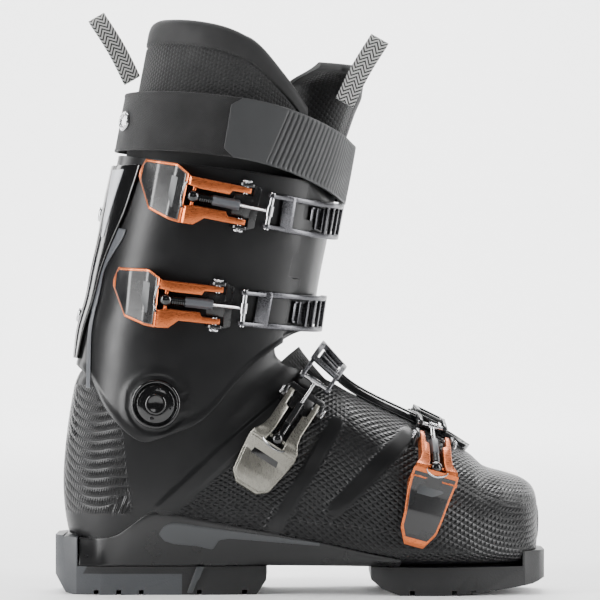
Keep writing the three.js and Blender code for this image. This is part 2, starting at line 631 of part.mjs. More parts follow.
// The strap lies clear of the lateral flap, and closer in round the back and the medial side.
const STRAP_SHIN = 5.6;
const STRAP_OVER_FLAP = 8.1;
const STRAP_CALF = 4.6;
const strapUnder = (angle) => {
  if (angle < 0) return lerp(STRAP_SHIN, STRAP_CALF, smoothstep(-angle, 10, 60));
  const turn = lerp(STRAP_SHIN, STRAP_OVER_FLAP, smoothstep(Math.abs(angle), 15, 38));
  return lerp(turn, STRAP_CALF, smoothstep(angle, 110, 180));
};
function strapBand(firstAngle, lastAngle, cols, halfWidth, from, to) {
  const face = (offset) => (r, c) => {
    const angle = lerp(firstAngle, lastAngle, c / cols);
    const z = strapMiddle(angle) + lerp(-halfWidth, halfWidth, r / 2);
    const under = angle > 200 ? strapUnder(angle - 360) : strapUnder(angle);
    return onShaft(z, angle, under + offset);
  };
  return skin(face(to), face(from), 2, cols);
}
const overlayUnder = STRAP_THICKNESS + GAP;
const overlayTop = overlayUnder + OVERLAY_THICKNESS;
add('power_strap', strapBand(76, 346, 24, STRAP_WIDTH / 2, 0, STRAP_THICKNESS), STRAP_FABRIC);
add('strap_overlay', strapBand(-70, 92, 18, STRAP_WIDTH / 2, overlayUnder, overlayTop), STRAP_RUBBER);
for (const [name, angle] of [['lateral', 156], ['medial', 204]]) {
  const under = strapUnder(angle > 200 ? angle - 360 : angle) + STRAP_THICKNESS + 2 * GAP;
  add(`strap_rivet_${name}`, stud(strapMiddle(angle), angle, under, 1.6, 6, 16), STEEL);
}

// Webbing loop in the side plane: up one face, round the tip and down the other.
function pullLoop(root, tip, spread) {
  const along = tip.clone().sub(root);
  const length = along.length();
  along.normalize();
  const across = vec(-along.z, 0, along.x);
  const cols = 14;
  const face = (radius) => (r, c) => {
    const t = c / cols;
    const bend = THREE.MathUtils.clamp((t - 0.3) / 0.4, 0, 1) * Math.PI;
    const reach = t < 0.3 ? t / 0.3 : t > 0.7 ? (1 - t) / 0.3 : 1;
    const place = root.clone().addScaledVector(along, reach * (length - spread) + radius * Math.sin(bend));
    place.y -= radius * Math.cos(bend);
    return place.addScaledVector(across, WEBBING_WIDTH * (r - 0.5));
  };
  return skin(face(spread), face(spread - WEBBING_THICKNESS), 1, cols);
}
add('rear_pull_loop', pullLoop(vec(-105.9, 0, 321.5), vec(-127, 0, 358), 4), WEBBING);
add('front_pull_loop', pullLoop(vec(27.5, -39, 305), vec(49, -37, 343), 4), WEBBING);

// ---- Buckles ------------------------------------------------------------------------------
// A buckle's own frame: u along the pull towards the ladder, v along the hinge, h out of the shell.
function buckleFrame(surface, x, z, tilt, guess, offset) {
  const side = { ex: vec(1, 0, 0), ey: vec(0, 0, 1), origin: vec(0, 0, 0) };
  const [key, angle] = spotUnder(surface, side, x, z, offset, guess);
  const origin = surface(key, angle, offset(angle));
  const ez = surface(key, angle, offset(angle) + 1).sub(origin).normalize();
  const ex = vec(Math.cos(rad(tilt)), 0, Math.sin(rad(tilt)));
  ex.addScaledVector(ez, -ex.dot(ez)).normalize();
  return { origin, ex, ey: ez.clone().cross(ex), ez, key, angle };
}

// Station and angle of the surface point that lies at (u, v) in a frame's own plane.
function spotUnder(surface, frame, u, v, offset, guess) {
  let [key, angle] = guess;
  const read = (k, a) => {
    const place = surface(k, a, offset(a)).sub(frame.origin);
    return [place.dot(frame.ex), place.dot(frame.ey)];
  };
  for (let i = 0; i < 60; i += 1) {
    const here = read(key, angle);
    const dk = read(key + 0.02, angle).map((value, k) => (value - here[k]) / 0.02);
    const da = read(key, angle + 0.5).map((value, k) => (value - here[k]) / 0.5);
    const det = dk[0] * da[1] - da[0] * dk[1];
    const eu = u - here[0];
    const ev = v - here[1];
    key += (0.4 * (eu * da[1] - ev * da[0])) / det;
    angle += (0.4 * (dk[0] * ev - dk[1] * eu)) / det;
  }
  return [key, angle];
}

// Station at which the surface crosses the plane v at a given angle.
function stationAt(surface, frame, v, angle, offset, guess) {
  let key = guess;
  const read = (k) => surface(k, angle, offset).sub(frame.origin).dot(frame.ey);
  for (let i = 0; i < 25; i += 1) {
    const here = read(key);
    key += (0.7 * (v - here)) / ((read(key + 0.02) - here) / 0.02);
  }
  return key;
}

function buckle(name, spec) {
  const { surface, scale, metal } = spec;
  const frame = buckleFrame(surface, spec.x, spec.z, spec.tilt, spec.guess, spec.seat);
  const { origin, ex, ey, ez } = frame;
  const matrix = new THREE.Matrix4().makeBasis(ex, ey, ez).setPosition(origin).elements;
  const put = (part, manifold, material) => {
    add(`${name}_${part}`, manifold.transform(Array.from(matrix)), material);
  };
  const sunk = (u) => {
    const [key, angle] = spotUnder(surface, frame, u, 0, spec.seat, [frame.key, frame.angle]);
    return surface(key, angle, spec.seat(angle)).sub(origin).dot(ez);
  };
  const k = scale;
  const armOut = ARM_OUTER * k;
  const armIn = ARM_INNER * k;
  const pin = PIVOT_HEIGHT;
  const acrossRod = (u, h, v0, v1, radius, sides = 10) => rod(vec(u, v0, h), vec(u, v1, h), radius, sides);

  const clear = 2.8;
  const tip = -LEVER_LENGTH * k;
  const ball = -BALL_OFFSET * k;
  const bar = TBAR_OFFSET * k;
  const ballHeight = Math.max(sunk(ball) + clear + 2.4, 5);
  const barHeight = Math.max(sunk(bar) + clear + 2.4, 4.8);

  // Base plate with two ears outside the lever's arms.
  const earIn = armOut + GAP;
  const earOut = earIn + 2.2;
  let base = box(-6, 10 * k, -earOut, earOut, 0.7, 2.2);
  const ear = [[-5.5, 1], [5.5, 1], [4, pin + 2.6], [-3, pin + 2.6]];
  for (const side of [-1, 1]) {
    const [y0, y1] = side < 0 ? [-earOut, -earIn] : [earIn, earOut];
    base = base.add(profile(ear, y0, y1));
  }
  for (const [y0, y1] of [[armIn - 0.5, earIn], [-earIn, 0.5 - armIn]]) {
    base = base.subtract(box(-HEEL_SWEEP, HEEL_SWEEP, y0, y1, 0, 3));
  }
  base = base.subtract(acrossRod(0, pin, -30, 30, STUB_RADIUS + GAP));
  put('base', base, GLOSS_PLASTIC);
  for (const [letter, side] of [['a', 1], ['b', -1]]) {
    const head = acrossRod(0, pin, side * (earOut + GAP), side * (earOut + 1.4), STUB_RADIUS + 0.9);
    const stub = acrossRod(0, pin, side * armIn, side * (earOut + 1), STUB_RADIUS);
    put(`pin_${letter}`, stub.add(head), STEEL);
  }

  // Lever: a plate that follows the shell, waisted to two arms.
  const half = (LEVER_WIDTH / 2) * k;
  const plan = [
    [tip, half * 0.35], [tip + 3 * k, half * 0.94], [-42 * k, half], [-32 * k, armOut], [LEVER_HEEL, armOut],
    [LEVER_HEEL, -armOut], [-24 * k, -armOut], [-28 * k, -half], [-46 * k, -half * 0.94],
    [-54 * k, -half * 0.8],
  ];
  const under = (share) => [tip * share, sunk(tip * share) + clear + spec.tipLift * share];
  const over = (share, rise) => [tip * share, under(share)[1] + rise];
  const sideView = [
    [LEVER_HEEL, clear], [LEVER_HEEL, pin + 2.9], [-18 * k, Math.max(pin, ballHeight) + 2.6],
    [ball - 4.6 * k, ballHeight + 2], over(0.68, 3.4), over(0.85, 3), [tip - 1, under(1)[1] + 2.6],
    [tip - 1, under(1)[1]], under(0.85), under(0.7), under(0.5), under(0.3), [-7, clear],
  ];
  let lever = plate(plan, -60, 40).intersect(profile(sideView, -40, 40));
  lever = lever.subtract(box(ball - 4.6, 10, -armIn, armIn, -60, 40));
  lever = lever.subtract(acrossRod(0, pin, -30, 30, STUB_RADIUS + GAP));
  lever = lever.add(acrossRod(ball, ballHeight, -armIn - 0.5, armIn + 0.5, CROSS_PIN_RADIUS, 8));
  put('lever', lever, metal);

  // Rod: an eye on the lever's cross pin, a threaded barrel and a cross bar for the bail.
  const barHalf = 11.8 * k;
  const start = vec(ball, 0, ballHeight);
  const finishPoint = vec(bar, 0, barHeight);
  const along = (share) => start.clone().lerp(finishPoint, share);
  const eyeBore = acrossRod(ball, ballHeight, -9, 9, CROSS_PIN_RADIUS + GAP, 8);
  let link = acrossRod(ball, ballHeight, -3, 3, 3.4, 12).subtract(eyeBore);
  link = link.add(rod(along(0.055), along(0.3), 2.2, 8)).add(rod(along(0.28), along(0.62), 2.5, 6));
  link = link.add(rod(along(0.6), finishPoint, 1.3, 6));
  link = link.add(acrossRod(bar, barHeight, -barHalf, barHalf, BAR_RADIUS, 8));
  put('rod', link, STEEL);

  // Bail: a curved frame on the cross bar, with its hook bar between two ladder teeth.
  const [barKey, barAngle] = spotUnder(surface, frame, bar + 7 * k, 0, spec.seat, [frame.key, frame.angle]);
  const bandOut = 11.4 * k;
  const bandIn = 7.9 * k;
  const cols = 6;
  const bailAt = (v, angle, offset) => {
    const lift = spec.seat(angle) + offset;
    return surface(stationAt(surface, frame, v, angle, lift, barKey), angle, lift);
  };
  const curved = (v0, v1, a0, a1, from, to, steps) => {
    const face = (offset) => (r, c) => bailAt(lerp(v0, v1, r), lerp(a0, a1, c / steps), offset);
    return skin(face(to), face(from), 1, steps);
  };
  const { bailUnder, hookAngle } = spec;
  const bailTop = bailUnder + 2;
  const hookUnder = spec.ladderSeat + spec.toothTop - TOOTH_GRIP - spec.seat(hookAngle);
  const gridStep = (barAngle - hookAngle) / cols;
  let bail = curved(bandIn, bandOut, barAngle, hookAngle, bailUnder, bailTop, cols);
  bail = bail.add(curved(-bandOut, -bandIn, barAngle, hookAngle, bailUnder, bailTop, cols));
  bail = bail.add(curved(-bandOut, bandOut, barAngle, barAngle - gridStep, bailUnder, bailTop, 1));
  bail = bail.add(curved(-bandOut, bandOut, hookAngle + HOOK_SPAN, hookAngle, hookUnder, bailTop, 1));
  const worldToBuckle = new THREE.Matrix4().fromArray(matrix).invert();
  bail = bail.transform(Array.from(worldToBuckle.elements));
  const join = bailAt(0, barAngle - gridStep / 2, bailUnder + 1).applyMatrix4(worldToBuckle);
  const run = new THREE.Vector2(join.x - bar, join.z - barHeight).normalize();
  const lugPoint = (u, h, ahead, aside) => (
    [u + run.x * ahead - run.y * aside, h + run.y * ahead + run.x * aside]);
  const lug = [
    lugPoint(bar, barHeight, -3, -1.4), lugPoint(bar, barHeight, -1, -2.9),
    lugPoint(join.x, join.z, 1.2, -0.9), lugPoint(join.x, join.z, 1.2, 0.9),
    lugPoint(bar, barHeight, 1, 2.9), lugPoint(bar, barHeight, -3, 1.4),
  ];
  for (const turn of [-1, 1]) {
    const edges = [turn * (bandIn + 0.3), turn * (bandOut - 1)].sort((m, n) => m - n);
    bail = bail.add(profile(lug, edges[0], edges[1]));
  }
  bail = bail.subtract(acrossRod(bar, barHeight, -30, 30, BAR_RADIUS + GAP, 8));
  put('bail', bail, spec.bailMetal);

  // Ladder: a curved strip with teeth, on the other flap.
  const ladderHalf = 6.9 * k;
  const strip = (a0, a1, from, to, steps) => {
    const face = (offset) => (r, c) => {
      const angle = lerp(a0, a1, c / steps);
      const lift = spec.ladderSeat + offset;
      const key = stationAt(surface, frame, lerp(-ladderHalf, ladderHalf, r), angle, lift, barKey);
      return surface(key, angle, lift);
    };
    return skin(face(to), face(from), 1, steps);
  };
  const [ladderStart, ladderEnd] = spec.ladder;
  let ladder = strip(ladderStart, ladderEnd, GAP, 2, 8);
  for (const tooth of spec.teeth) {
    ladder = ladder.add(strip(tooth + TOOTH_HALF, tooth - TOOTH_HALF, 1.5, spec.toothTop, 1));
  }
  add(`${name}_ladder`, ladder, GUNMETAL);
}

const flapOutside = (angle) => cuffInside(Math.max(angle, 0)) + CUFF_WALL;
const shellFace = () => 0;
// Each buckle stands at (x, z) in the side view, its rod at a tilt.
// Its ladder and teeth are angles round the boot.
const cuffBuckle = {
  surface: onShaft, seat: flapOutside, scale: 1, metal: COPPER, bailMetal: GUNMETAL, tipLift: 0,
  bailUnder: 1.4, ladderSeat: CUFF_WALL, ladder: [39, -22], toothTop: 4, hookAngle: 7,
  teeth: [35, 29, 23, 17, 0, -7, -14],
};
const footBuckle = {
  surface: onShell, seat: shellFace, metal: TITANIUM, bailMetal: GUNMETAL, tipLift: 0,
  bailUnder: 8, ladderSeat: gasketTop, toothTop: 4.2, hookAngle: 4,
};
buckle('upper_cuff_buckle', { ...cuffBuckle, x: -35.6, z: 241, tilt: -11.6, guess: [241, 80] });
buckle('lower_cuff_buckle', { ...cuffBuckle, x: -51.6, z: 180, tilt: -6.5, guess: [180, 80] });
buckle('instep_buckle', {
  ...footBuckle, x: 0.4, z: 118, tilt: 57, guess: [9, 60], scale: 0.96, ladder: [21, -22],
  teeth: [16, 11, -3, -9, -15],
});
buckle('toe_buckle', {
  ...footBuckle, x: 81, z: 92, tilt: 74, guess: [5.2, 50], scale: 0.85, metal: COPPER, tipLift: 2.5,
  ladder: [17, -22], teeth: [13, 9, -3, -9, -15],
});

// The buckles stand out on the lateral side only, so the boot's middle plane lies to the medial side.
pieces.position.y = MIDDLE_PLANE_Y;

export default pieces;
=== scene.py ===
"""Looks of the alpine ski boot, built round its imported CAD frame. Lengths here are in millimetres."""
import json
import math

import bmesh
import bpy
import numpy as np
from mathutils import Matrix, Vector


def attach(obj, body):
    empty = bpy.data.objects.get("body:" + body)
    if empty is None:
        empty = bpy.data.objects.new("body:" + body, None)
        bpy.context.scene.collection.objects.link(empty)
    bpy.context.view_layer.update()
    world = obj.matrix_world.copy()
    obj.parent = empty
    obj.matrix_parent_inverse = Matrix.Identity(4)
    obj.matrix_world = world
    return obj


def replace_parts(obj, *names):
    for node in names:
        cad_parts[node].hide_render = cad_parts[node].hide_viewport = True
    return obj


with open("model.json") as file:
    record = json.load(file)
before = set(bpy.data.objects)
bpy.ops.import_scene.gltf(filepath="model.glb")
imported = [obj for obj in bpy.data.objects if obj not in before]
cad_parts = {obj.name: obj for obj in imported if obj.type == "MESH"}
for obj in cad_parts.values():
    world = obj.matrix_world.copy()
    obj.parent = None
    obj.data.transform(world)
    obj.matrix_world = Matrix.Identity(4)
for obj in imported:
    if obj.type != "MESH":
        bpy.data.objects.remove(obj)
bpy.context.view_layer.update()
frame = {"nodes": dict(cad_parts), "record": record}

MM = 0.001
MIDDLE_Y = 4.0                  # the boot's middle plane in the frame
UV_UNIT = 100.0                 # millimetres to one unit of the surface coordinates

# ---- Camera, lights and floor --------------------------------------------------------------
VIEW_WIDTH = 368.7              # width of the view at the boot
CAMERA_DISTANCE = 2100.0
CAMERA_HEIGHT = 183.0


def aim(obj, target):
    obj.rotation_euler = (Vector(target) - obj.location).to_track_quat("-Z", "Y").to_euler()


camera = bpy.data.objects.new("camera", bpy.data.cameras.new("camera"))
camera.location = (0, -CAMERA_DISTANCE * MM, CAMERA_HEIGHT * MM)
camera.data.sensor_width = 36
camera.data.lens = 36 * (CAMERA_DISTANCE - 50) / VIEW_WIDTH
camera.data.clip_end = 30
aim(camera, (0, 0, CAMERA_HEIGHT * MM))
bpy.context.scene.collection.objects.link(camera)
bpy.context.scene.camera = camera


def softbox(name, place, target, width, height, power):
    lamp = bpy.data.lights.new(name, "AREA")
    lamp.shape = "RECTANGLE"
    lamp.size = width
    lamp.size_y = height
    lamp.energy = power
    obj = bpy.data.objects.new(name, lamp)
    obj.location = place
    aim(obj, target)
    bpy.context.scene.collection.objects.link(obj)


softbox("strip_rear", (-1.15, -0.5, 0.5), (-0.05, 0, 0.2), 0.3, 1.4, 30)
softbox("strip_front", (1.2, -0.45, 0.5), (0.05, 0, 0.2), 0.35, 1.4, 27)
softbox("overhead", (0.0, 0.1, 1.6), (0, 0.05, 0.15), 1.2, 0.6, 13)
softbox("fill", (0.25, -2.6, 1.1), (0, 0, 0.15), 0.8, 0.4, 4)
softbox("back_wash", (0, 1.9, 2.6), (0, 3.2, 0.3), 3.0, 1.0, 300)
softbox("medial_rear", (-1.1, 0.8, 0.5), (0, 0, 0.2), 0.3, 1.3, 9)
softbox("medial_front", (1.1, 0.9, 0.5), (0, 0, 0.2), 0.3, 1.3, 9)

world = bpy.data.worlds.new("studio")
world.use_nodes = True
sky = world.node_tree.nodes["Background"]
sky.inputs[0].default_value = (0.82, 0.83, 0.85, 1)
seen = world.node_tree.nodes.new("ShaderNodeLightPath").outputs["Is Camera Ray"]
strength = world.node_tree.nodes.new("ShaderNodeMapRange")
strength.inputs["To Min"].default_value = 0.1
strength.inputs["To Max"].default_value = 0.95
world.node_tree.links.new(seen, strength.inputs["Value"])
world.node_tree.links.new(strength.outputs[0], sky.inputs[1])
bpy.context.scene.world = world


# ---- Numbers -------------------------------------------------------------------------------
def smooth(x, a, b):
    t = np.clip((np.asarray(x, float) - a) / (b - a), 0, 1)
    return t * t * (3 - 2 * t)


def lerp(a, b, t):
    return a + (b - a) * t


def track(table, key):
    """Smooth curve through table rows [key, value, ...], read at an array of keys."""
    rows = np.array(table, float)
    key = np.asarray(key, float)
    slopes = np.empty_like(rows[:, 1:])
    slopes[1:-1] = (rows[2:, 1:] - rows[:-2, 1:]) / (rows[2:, :1] - rows[:-2, :1])
    slopes[0] = (rows[1, 1:] - rows[0, 1:]) / (rows[1, 0] - rows[0, 0])
    slopes[-1] = (rows[-1, 1:] - rows[-2, 1:]) / (rows[-1, 0] - rows[-2, 0])
    i = np.clip(np.searchsorted(rows[:, 0], key, side="left") - 1, 0, len(rows) - 2)
    span = (rows[i + 1, 0] - rows[i, 0])
    t = np.clip((key - rows[i, 0]) / span, 0, 1)[..., None]
    span = span[..., None]
    a, b = rows[i, 1:], rows[i + 1, 1:]
    out = (2 * t**3 - 3 * t**2 + 1) * a + (t**3 - 2 * t**2 + t) * span * slopes[i]
    out += (3 * t**2 - 2 * t**3) * b + (t**3 - t**2) * span * slopes[i + 1]
    return np.moveaxis(out, -1, 0)


# ---- Boot surfaces, as in the CAD ----------------------------------------------------------
# [station, back x, back z, top x, top z, half width, middle y, widest at, power below, above]
SHELL = [
    [0, 149, 32, 149.3, 54, 9, 4, 0.5, 2.4, 2.4], [0.5, 148, 24, 148.3, 61, 19, 4, 0.48, 2.8, 2.4],
    [1, 145, 19, 145.6, 66.5, 28, 4, 0.44, 3.4, 2.4], [2, 137, 18, 138.5, 71.5, 37, 3, 0.4, 4, 2.4],
    [3, 123, 18, 126, 75.5, 45, 2, 0.38, 4.4, 2.4], [3.6, 112, 18, 115, 79, 49, 1, 0.36, 4.4, 2.3],
    [4, 104, 18, 107, 86, 51, 0, 0.35, 4.4, 2.2], [5, 82, 18, 88, 98.5, 54.5, -1, 0.34, 4.4, 2.1],
    [6, 56, 18, 66, 109.5, 55, -1, 0.34, 4.4, 2.1], [7, 27, 18, 46, 119, 52, 0, 0.36, 4, 2.1],
    [8, -6, 18, 31, 127.5, 48, 0, 0.38, 3.6, 2.1], [9, -44, 18, 20, 137, 45.5, 0, 0.42, 3.2, 2.1],
    [10, -85, 18, 12, 146, 44.5, 0, 0.46, 3, 2.1], [11, -120, 18.3, 6, 153.5, 45, 0, 0.5, 2.8, 2.1],
    [11.5, -137, 21.5, 4, 156.5, 45, 0, 0.51, 2.6, 2.1], [12, -145, 36, 2, 159, 45.2, 0, 0.52, 2.4, 2.1],
    [13, -149, 64, 0.5, 161.5, 45.4, 0, 0.53, 2.2, 2.2], [14, -147.5, 95, 0, 163, 45.4, 0, 0.53, 2.05, 2.2],
    [15, -142.5, 128, -0.4, 164.2, 45.2, 0, 0.52, 2, 2.2],
    [15.4, -139, 137, -0.6, 165, 45, 0, 0.51, 2.05, 2.2],
    [16, -131.5, 146, -0.8, 166, 45.8, 0, 0.5, 2.3, 2.3], [17, -127, 160, -1, 168, 45.6, 0, 0.5, 2.3, 2.3]]
# Inside of the cuff: [z, back x, front x, half width, power]
SHAFT = [
    [88, -141, -6, 46.8, 2.3], [119, -139, -1, 47.6, 2.3], [150, -136, 2.5, 47.8, 2.3],
    [165, -134, 4, 48, 2.3],
    [183, -129, 6.5, 48.6, 2.3], [202, -125.3, 9.8, 49.6, 2.3], [220, -121.5, 13.5, 51, 2.3],
    [245, -117, 18.2, 53, 2.2], [263, -113, 21.8, 54.4, 2.2], [281, -109.5, 25, 55.6, 2.2],
    [300, -106, 28, 56.6, 2.2], [331, -100, 32, 57.6, 2.2], [364, -94, 36, 58, 2.2]]
CUFF_WALL = 3.4
SHELL_WALL = 4.5
FLAP_EDGE = 45.0


def oval(bx, bz, fx, fz, width, middle, widest, low, high, angle):
    c, s = np.cos(np.radians(angle)), np.sin(np.radians(angle))
    power = 2 / np.where(c >= 0, high, low)
    t = widest + np.where(c >= 0, 1 - widest, -widest) * np.abs(c) ** power
    y = middle - width * np.sign(s) * np.abs(s) ** power
    return np.stack([bx + (fx - bx) * t, y, bz + (fz - bz) * t], -1)


def shell_raw(key, angle):
    bx, bz, tx, tz, w, mid, widest, low, high = track(SHELL, key)
    return oval(bx, bz, tx, tz, w, mid, widest, low, high, angle)


def shaft_raw(key, angle):
    xb, xf, w, power = track(SHAFT, key)
    return oval(xb, key, xf, key, w, 0, 0.5, power, power, angle)


def offset_surface(raw, first, last, key_step, angle_step):
    def at(key, angle, offset=0.0):
        key, angle, offset = np.broadcast_arrays(*(np.asarray(v, float) for v in (key, angle, offset)))
        up = raw(np.minimum(key + key_step, last), angle) - raw(np.maximum(key - key_step, first), angle)
        round_ = raw(key, angle + angle_step) - raw(key, angle - angle_step)
        normal = np.cross(up, round_)
        normal /= np.linalg.norm(normal, axis=-1, keepdims=True) + 1e-12
        return raw(key, angle) + normal * offset[..., None]
    return at


on_shell = offset_surface(shell_raw, 0, 17, 0.12, 4)
on_shaft = offset_surface(shaft_raw, 88, 364, 3, 4)


def around(angle):
    turn = np.mod(angle, 360)
    return np.where(turn > 180, 360 - turn, turn)


# ---- Meshes --------------------------------------------------------------------------------
materials = {}


def build(name, points, faces, material, body, slot=None, uv=None, masks=None, bevel=0.0, segments=2,
          subdivide=0, flat=False, angle=35):
    """One object from points in millimetres, riding on a body."""
    mesh = bpy.data.meshes.new(name)
    places = (np.asarray(points, float) + [0, MIDDLE_Y, 0]) * MM
    mesh.from_pydata(places.tolist(), [], [list(map(int, f)) for f in faces])
    if uv is not None:
        layer = mesh.uv_layers.new(name="mm")
        index = np.empty(len(mesh.loops), int)
        mesh.loops.foreach_get("vertex_index", index)
        layer.data.foreach_set("uv", (np.asarray(uv, float)[index] / UV_UNIT).astype(np.float32).ravel())
    for key, values in (masks or {}).items():
        mesh.attributes.new(key, "FLOAT", "POINT").data.foreach_set("value", np.asarray(values, np.float32))
    obj = bpy.data.objects.new(name, mesh)
    bpy.context.scene.collection.objects.link(obj)
    work = bmesh.new()
    work.from_mesh(mesh)
    bmesh.ops.recalc_face_normals(work, faces=work.faces)
    work.to_mesh(mesh)
    work.free()
    if bevel:
        tool = obj.modifiers.new("bevel", "BEVEL")
        tool.width = bevel * MM
        tool.segments = segments
        tool.limit_method = "ANGLE"
        tool.angle_limit = math.radians(angle)
        tool.harden_normals = False
    if subdivide:
        tool = obj.modifiers.new("subdivide", "SUBSURF")
        tool.levels = tool.render_levels = subdivide
    apply_all(obj)
    obj.data.shade_flat() if flat else obj.data.shade_smooth()
    if not flat:
        obj.data.set_sharp_from_angle(angle=math.radians(50))
    obj.data.materials.append(materials[material])
    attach(obj, body)
    return obj


def apply_all(obj):
    if not obj.modifiers:
        return
    ready = obj.evaluated_get(bpy.context.evaluated_depsgraph_get())
    mesh = bpy.data.meshes.new_from_object(ready)
    obj.modifiers.clear()
    obj.data = mesh


def grid_faces(rows, cols, start=0, turn=False, wrap=False):
    r, c = np.meshgrid(np.arange(rows - 1), np.arange(cols if wrap else cols - 1), indexing="ij")
    a = start + r * cols + c
    b = start + r * cols + (c + 1) % cols
    quads = np.stack([a, b, b + cols, a + cols], -1).reshape(-1, 4)
    return quads[:, ::-1] if turn else quads


def arc_coordinates(grid):
    """Surface coordinates in millimetres of a grid of points: along its rows, and round its columns."""
    along = np.zeros(grid.shape[:2])
    across = np.zeros(grid.shape[:2])
    along[:, 1:] = np.cumsum(np.linalg.norm(np.diff(grid, axis=1), axis=2), axis=1)
    across[1:] = np.cumsum(np.linalg.norm(np.diff(grid, axis=0), axis=2), axis=0)
    middle = along.shape[1] // 2
    along -= along[:, middle:middle + 1]
    return np.stack([along, across], -1)


def slab(name, place, rows, cols, low, high, material, body, masks=None, u_range=(0, 1), **options):
    """A curved plate: place(u, v, offset) between two offsets, closed round its edge."""
    u, v = np.meshgrid(np.linspace(*u_range, rows), np.linspace(0, 1, cols), indexing="ij")
    outer = place(u, v, high if not callable(high) else high(u, v))
    inner = place(u, v, low if not callable(low) else low(u, v))
    n = rows * cols
    edge = [np.arange(cols), np.arange(1, rows) * cols + cols - 1,
            (rows - 1) * cols + np.arange(cols - 2, -1, -1),
            np.arange(rows - 2, 0, -1) * cols]
    loop = np.concatenate(edge)
    after = np.roll(loop, -1)
    rim = np.stack([loop, loop + n, after + n, after], -1)
    faces = np.concatenate([grid_faces(rows, cols), grid_faces(rows, cols, n, True), rim])
    uv = arc_coordinates(outer).reshape(-1, 2)
    values = {k: np.tile(f(u, v, outer).ravel(), 2) for k, f in (masks or {}).items()}
    points = np.concatenate([outer.reshape(-1, 3), inner.reshape(-1, 3)])
    return build(name, points, faces, material, body, uv=np.tile(uv, (2, 1)), masks=values, **options)


def line_distance(x, z, points):
    """Distance in the side plane to a polyline, and how far along it the nearest place is."""
    best = np.full(np.shape(x), 1e9)
    share = np.zeros(np.shape(x))
    for i, ((x0, z0), (x1, z1)) in enumerate(zip(points, points[1:])):
        dx, dz = x1 - x0, z1 - z0
        t = np.clip(((x - x0) * dx + (z - z0) * dz) / (dx * dx + dz * dz), 0, 1)
        d = np.hypot(x - x0 - t * dx, z - z0 - t * dz)
        share = np.where(d < best, i + t, share)
        best = np.minimum(best, d)
    return best, share / (len(points) - 1)


class Local:
    """A frame for small parts: u, v, h along its axes from its origin, in millimetres."""

    def __init__(self, origin, ex, ey, ez):
        self.origin, self.axes = np.asarray(origin, float), np.array([ex, ey, ez], float)

    def __call__(self, points):
        return self.origin + np.asarray(points, float) @ self.axes


WORLD = Local((0, 0, 0), (1, 0, 0), (0, 1, 0), (0, 0, 1))


def join(parts):
    points, faces, start = [], [], 0
    for p, f in parts:
        points.append(np.asarray(p, float))
        faces += [[i + start for i in face] for face in f]
        start += len(p)
    return np.concatenate(points), faces


def lathe(start, axis, profile, sides=24, teeth=0, depth=0.0):
    """Turned part: profile rows [distance along the axis, radius]."""
    axis = np.asarray(axis, float) / np.linalg.norm(axis)
    side = np.cross(axis, [0.31, 0.87, 0.38])
    side /= np.linalg.norm(side)
    up = np.cross(axis, side)
    turn = np.linspace(0, 2 * np.pi, sides, endpoint=False)
    ripple = 1 - depth * (0.5 + 0.5 * np.cos(turn * teeth)) if teeth else np.ones(sides)
    circle = np.cos(turn)[:, None] * side + np.sin(turn)[:, None] * up
    rings = [np.asarray(start) + axis * d + (r * ripple)[:, None] * circle for d, r in profile]
    points = np.concatenate(rings)
    n = len(profile)
    faces = [list(q) for q in grid_faces(n, sides, wrap=True)]
    faces.append(list(range(sides))[::-1])
    faces.append(list(range((n - 1) * sides, n * sides)))
    return points, faces


def loft(rings):
    """Closed tube through rings of equally many points."""
    rings = np.asarray(rings, float)
    n, sides = rings.shape[:2]
    faces = [list(q) for q in grid_faces(n, sides, wrap=True)]
    faces.append(list(range(sides))[::-1])
    faces.append(list(range((n - 1) * sides, n * sides)))
    return rings.reshape(-1, 3), faces


def rounded(v0, v1, h0, h1, corner, steps=3):
    """Rounded rectangle as (v, h) points."""
    corner = min(corner, (v1 - v0) / 2.01, (h1 - h0) / 2.01)
    out = []
    for cv, ch, a in ((v1 - corner, h1 - corner, 0), (v0 + corner, h1 - corner, 90),
                      (v0 + corner, h0 + corner, 180), (v1 - corner, h0 + corner, 270)):
        for i in range(steps + 1):
            t = math.radians(a + 90 * i / steps)
            out.append((cv + corner * math.cos(t), ch + corner * math.sin(t)))
    return out


def prism(outline, h0, h1):
    n = len(outline)
    points = [(x, y, h0) for x, y in outline] + [(x, y, h1) for x, y in outline]
    faces = [list(range(n))[::-1], list(range(n, 2 * n))]
    faces += [[i, (i + 1) % n, (i + 1) % n + n, i + n] for i in range(n)]
    return np.array(points, float), faces


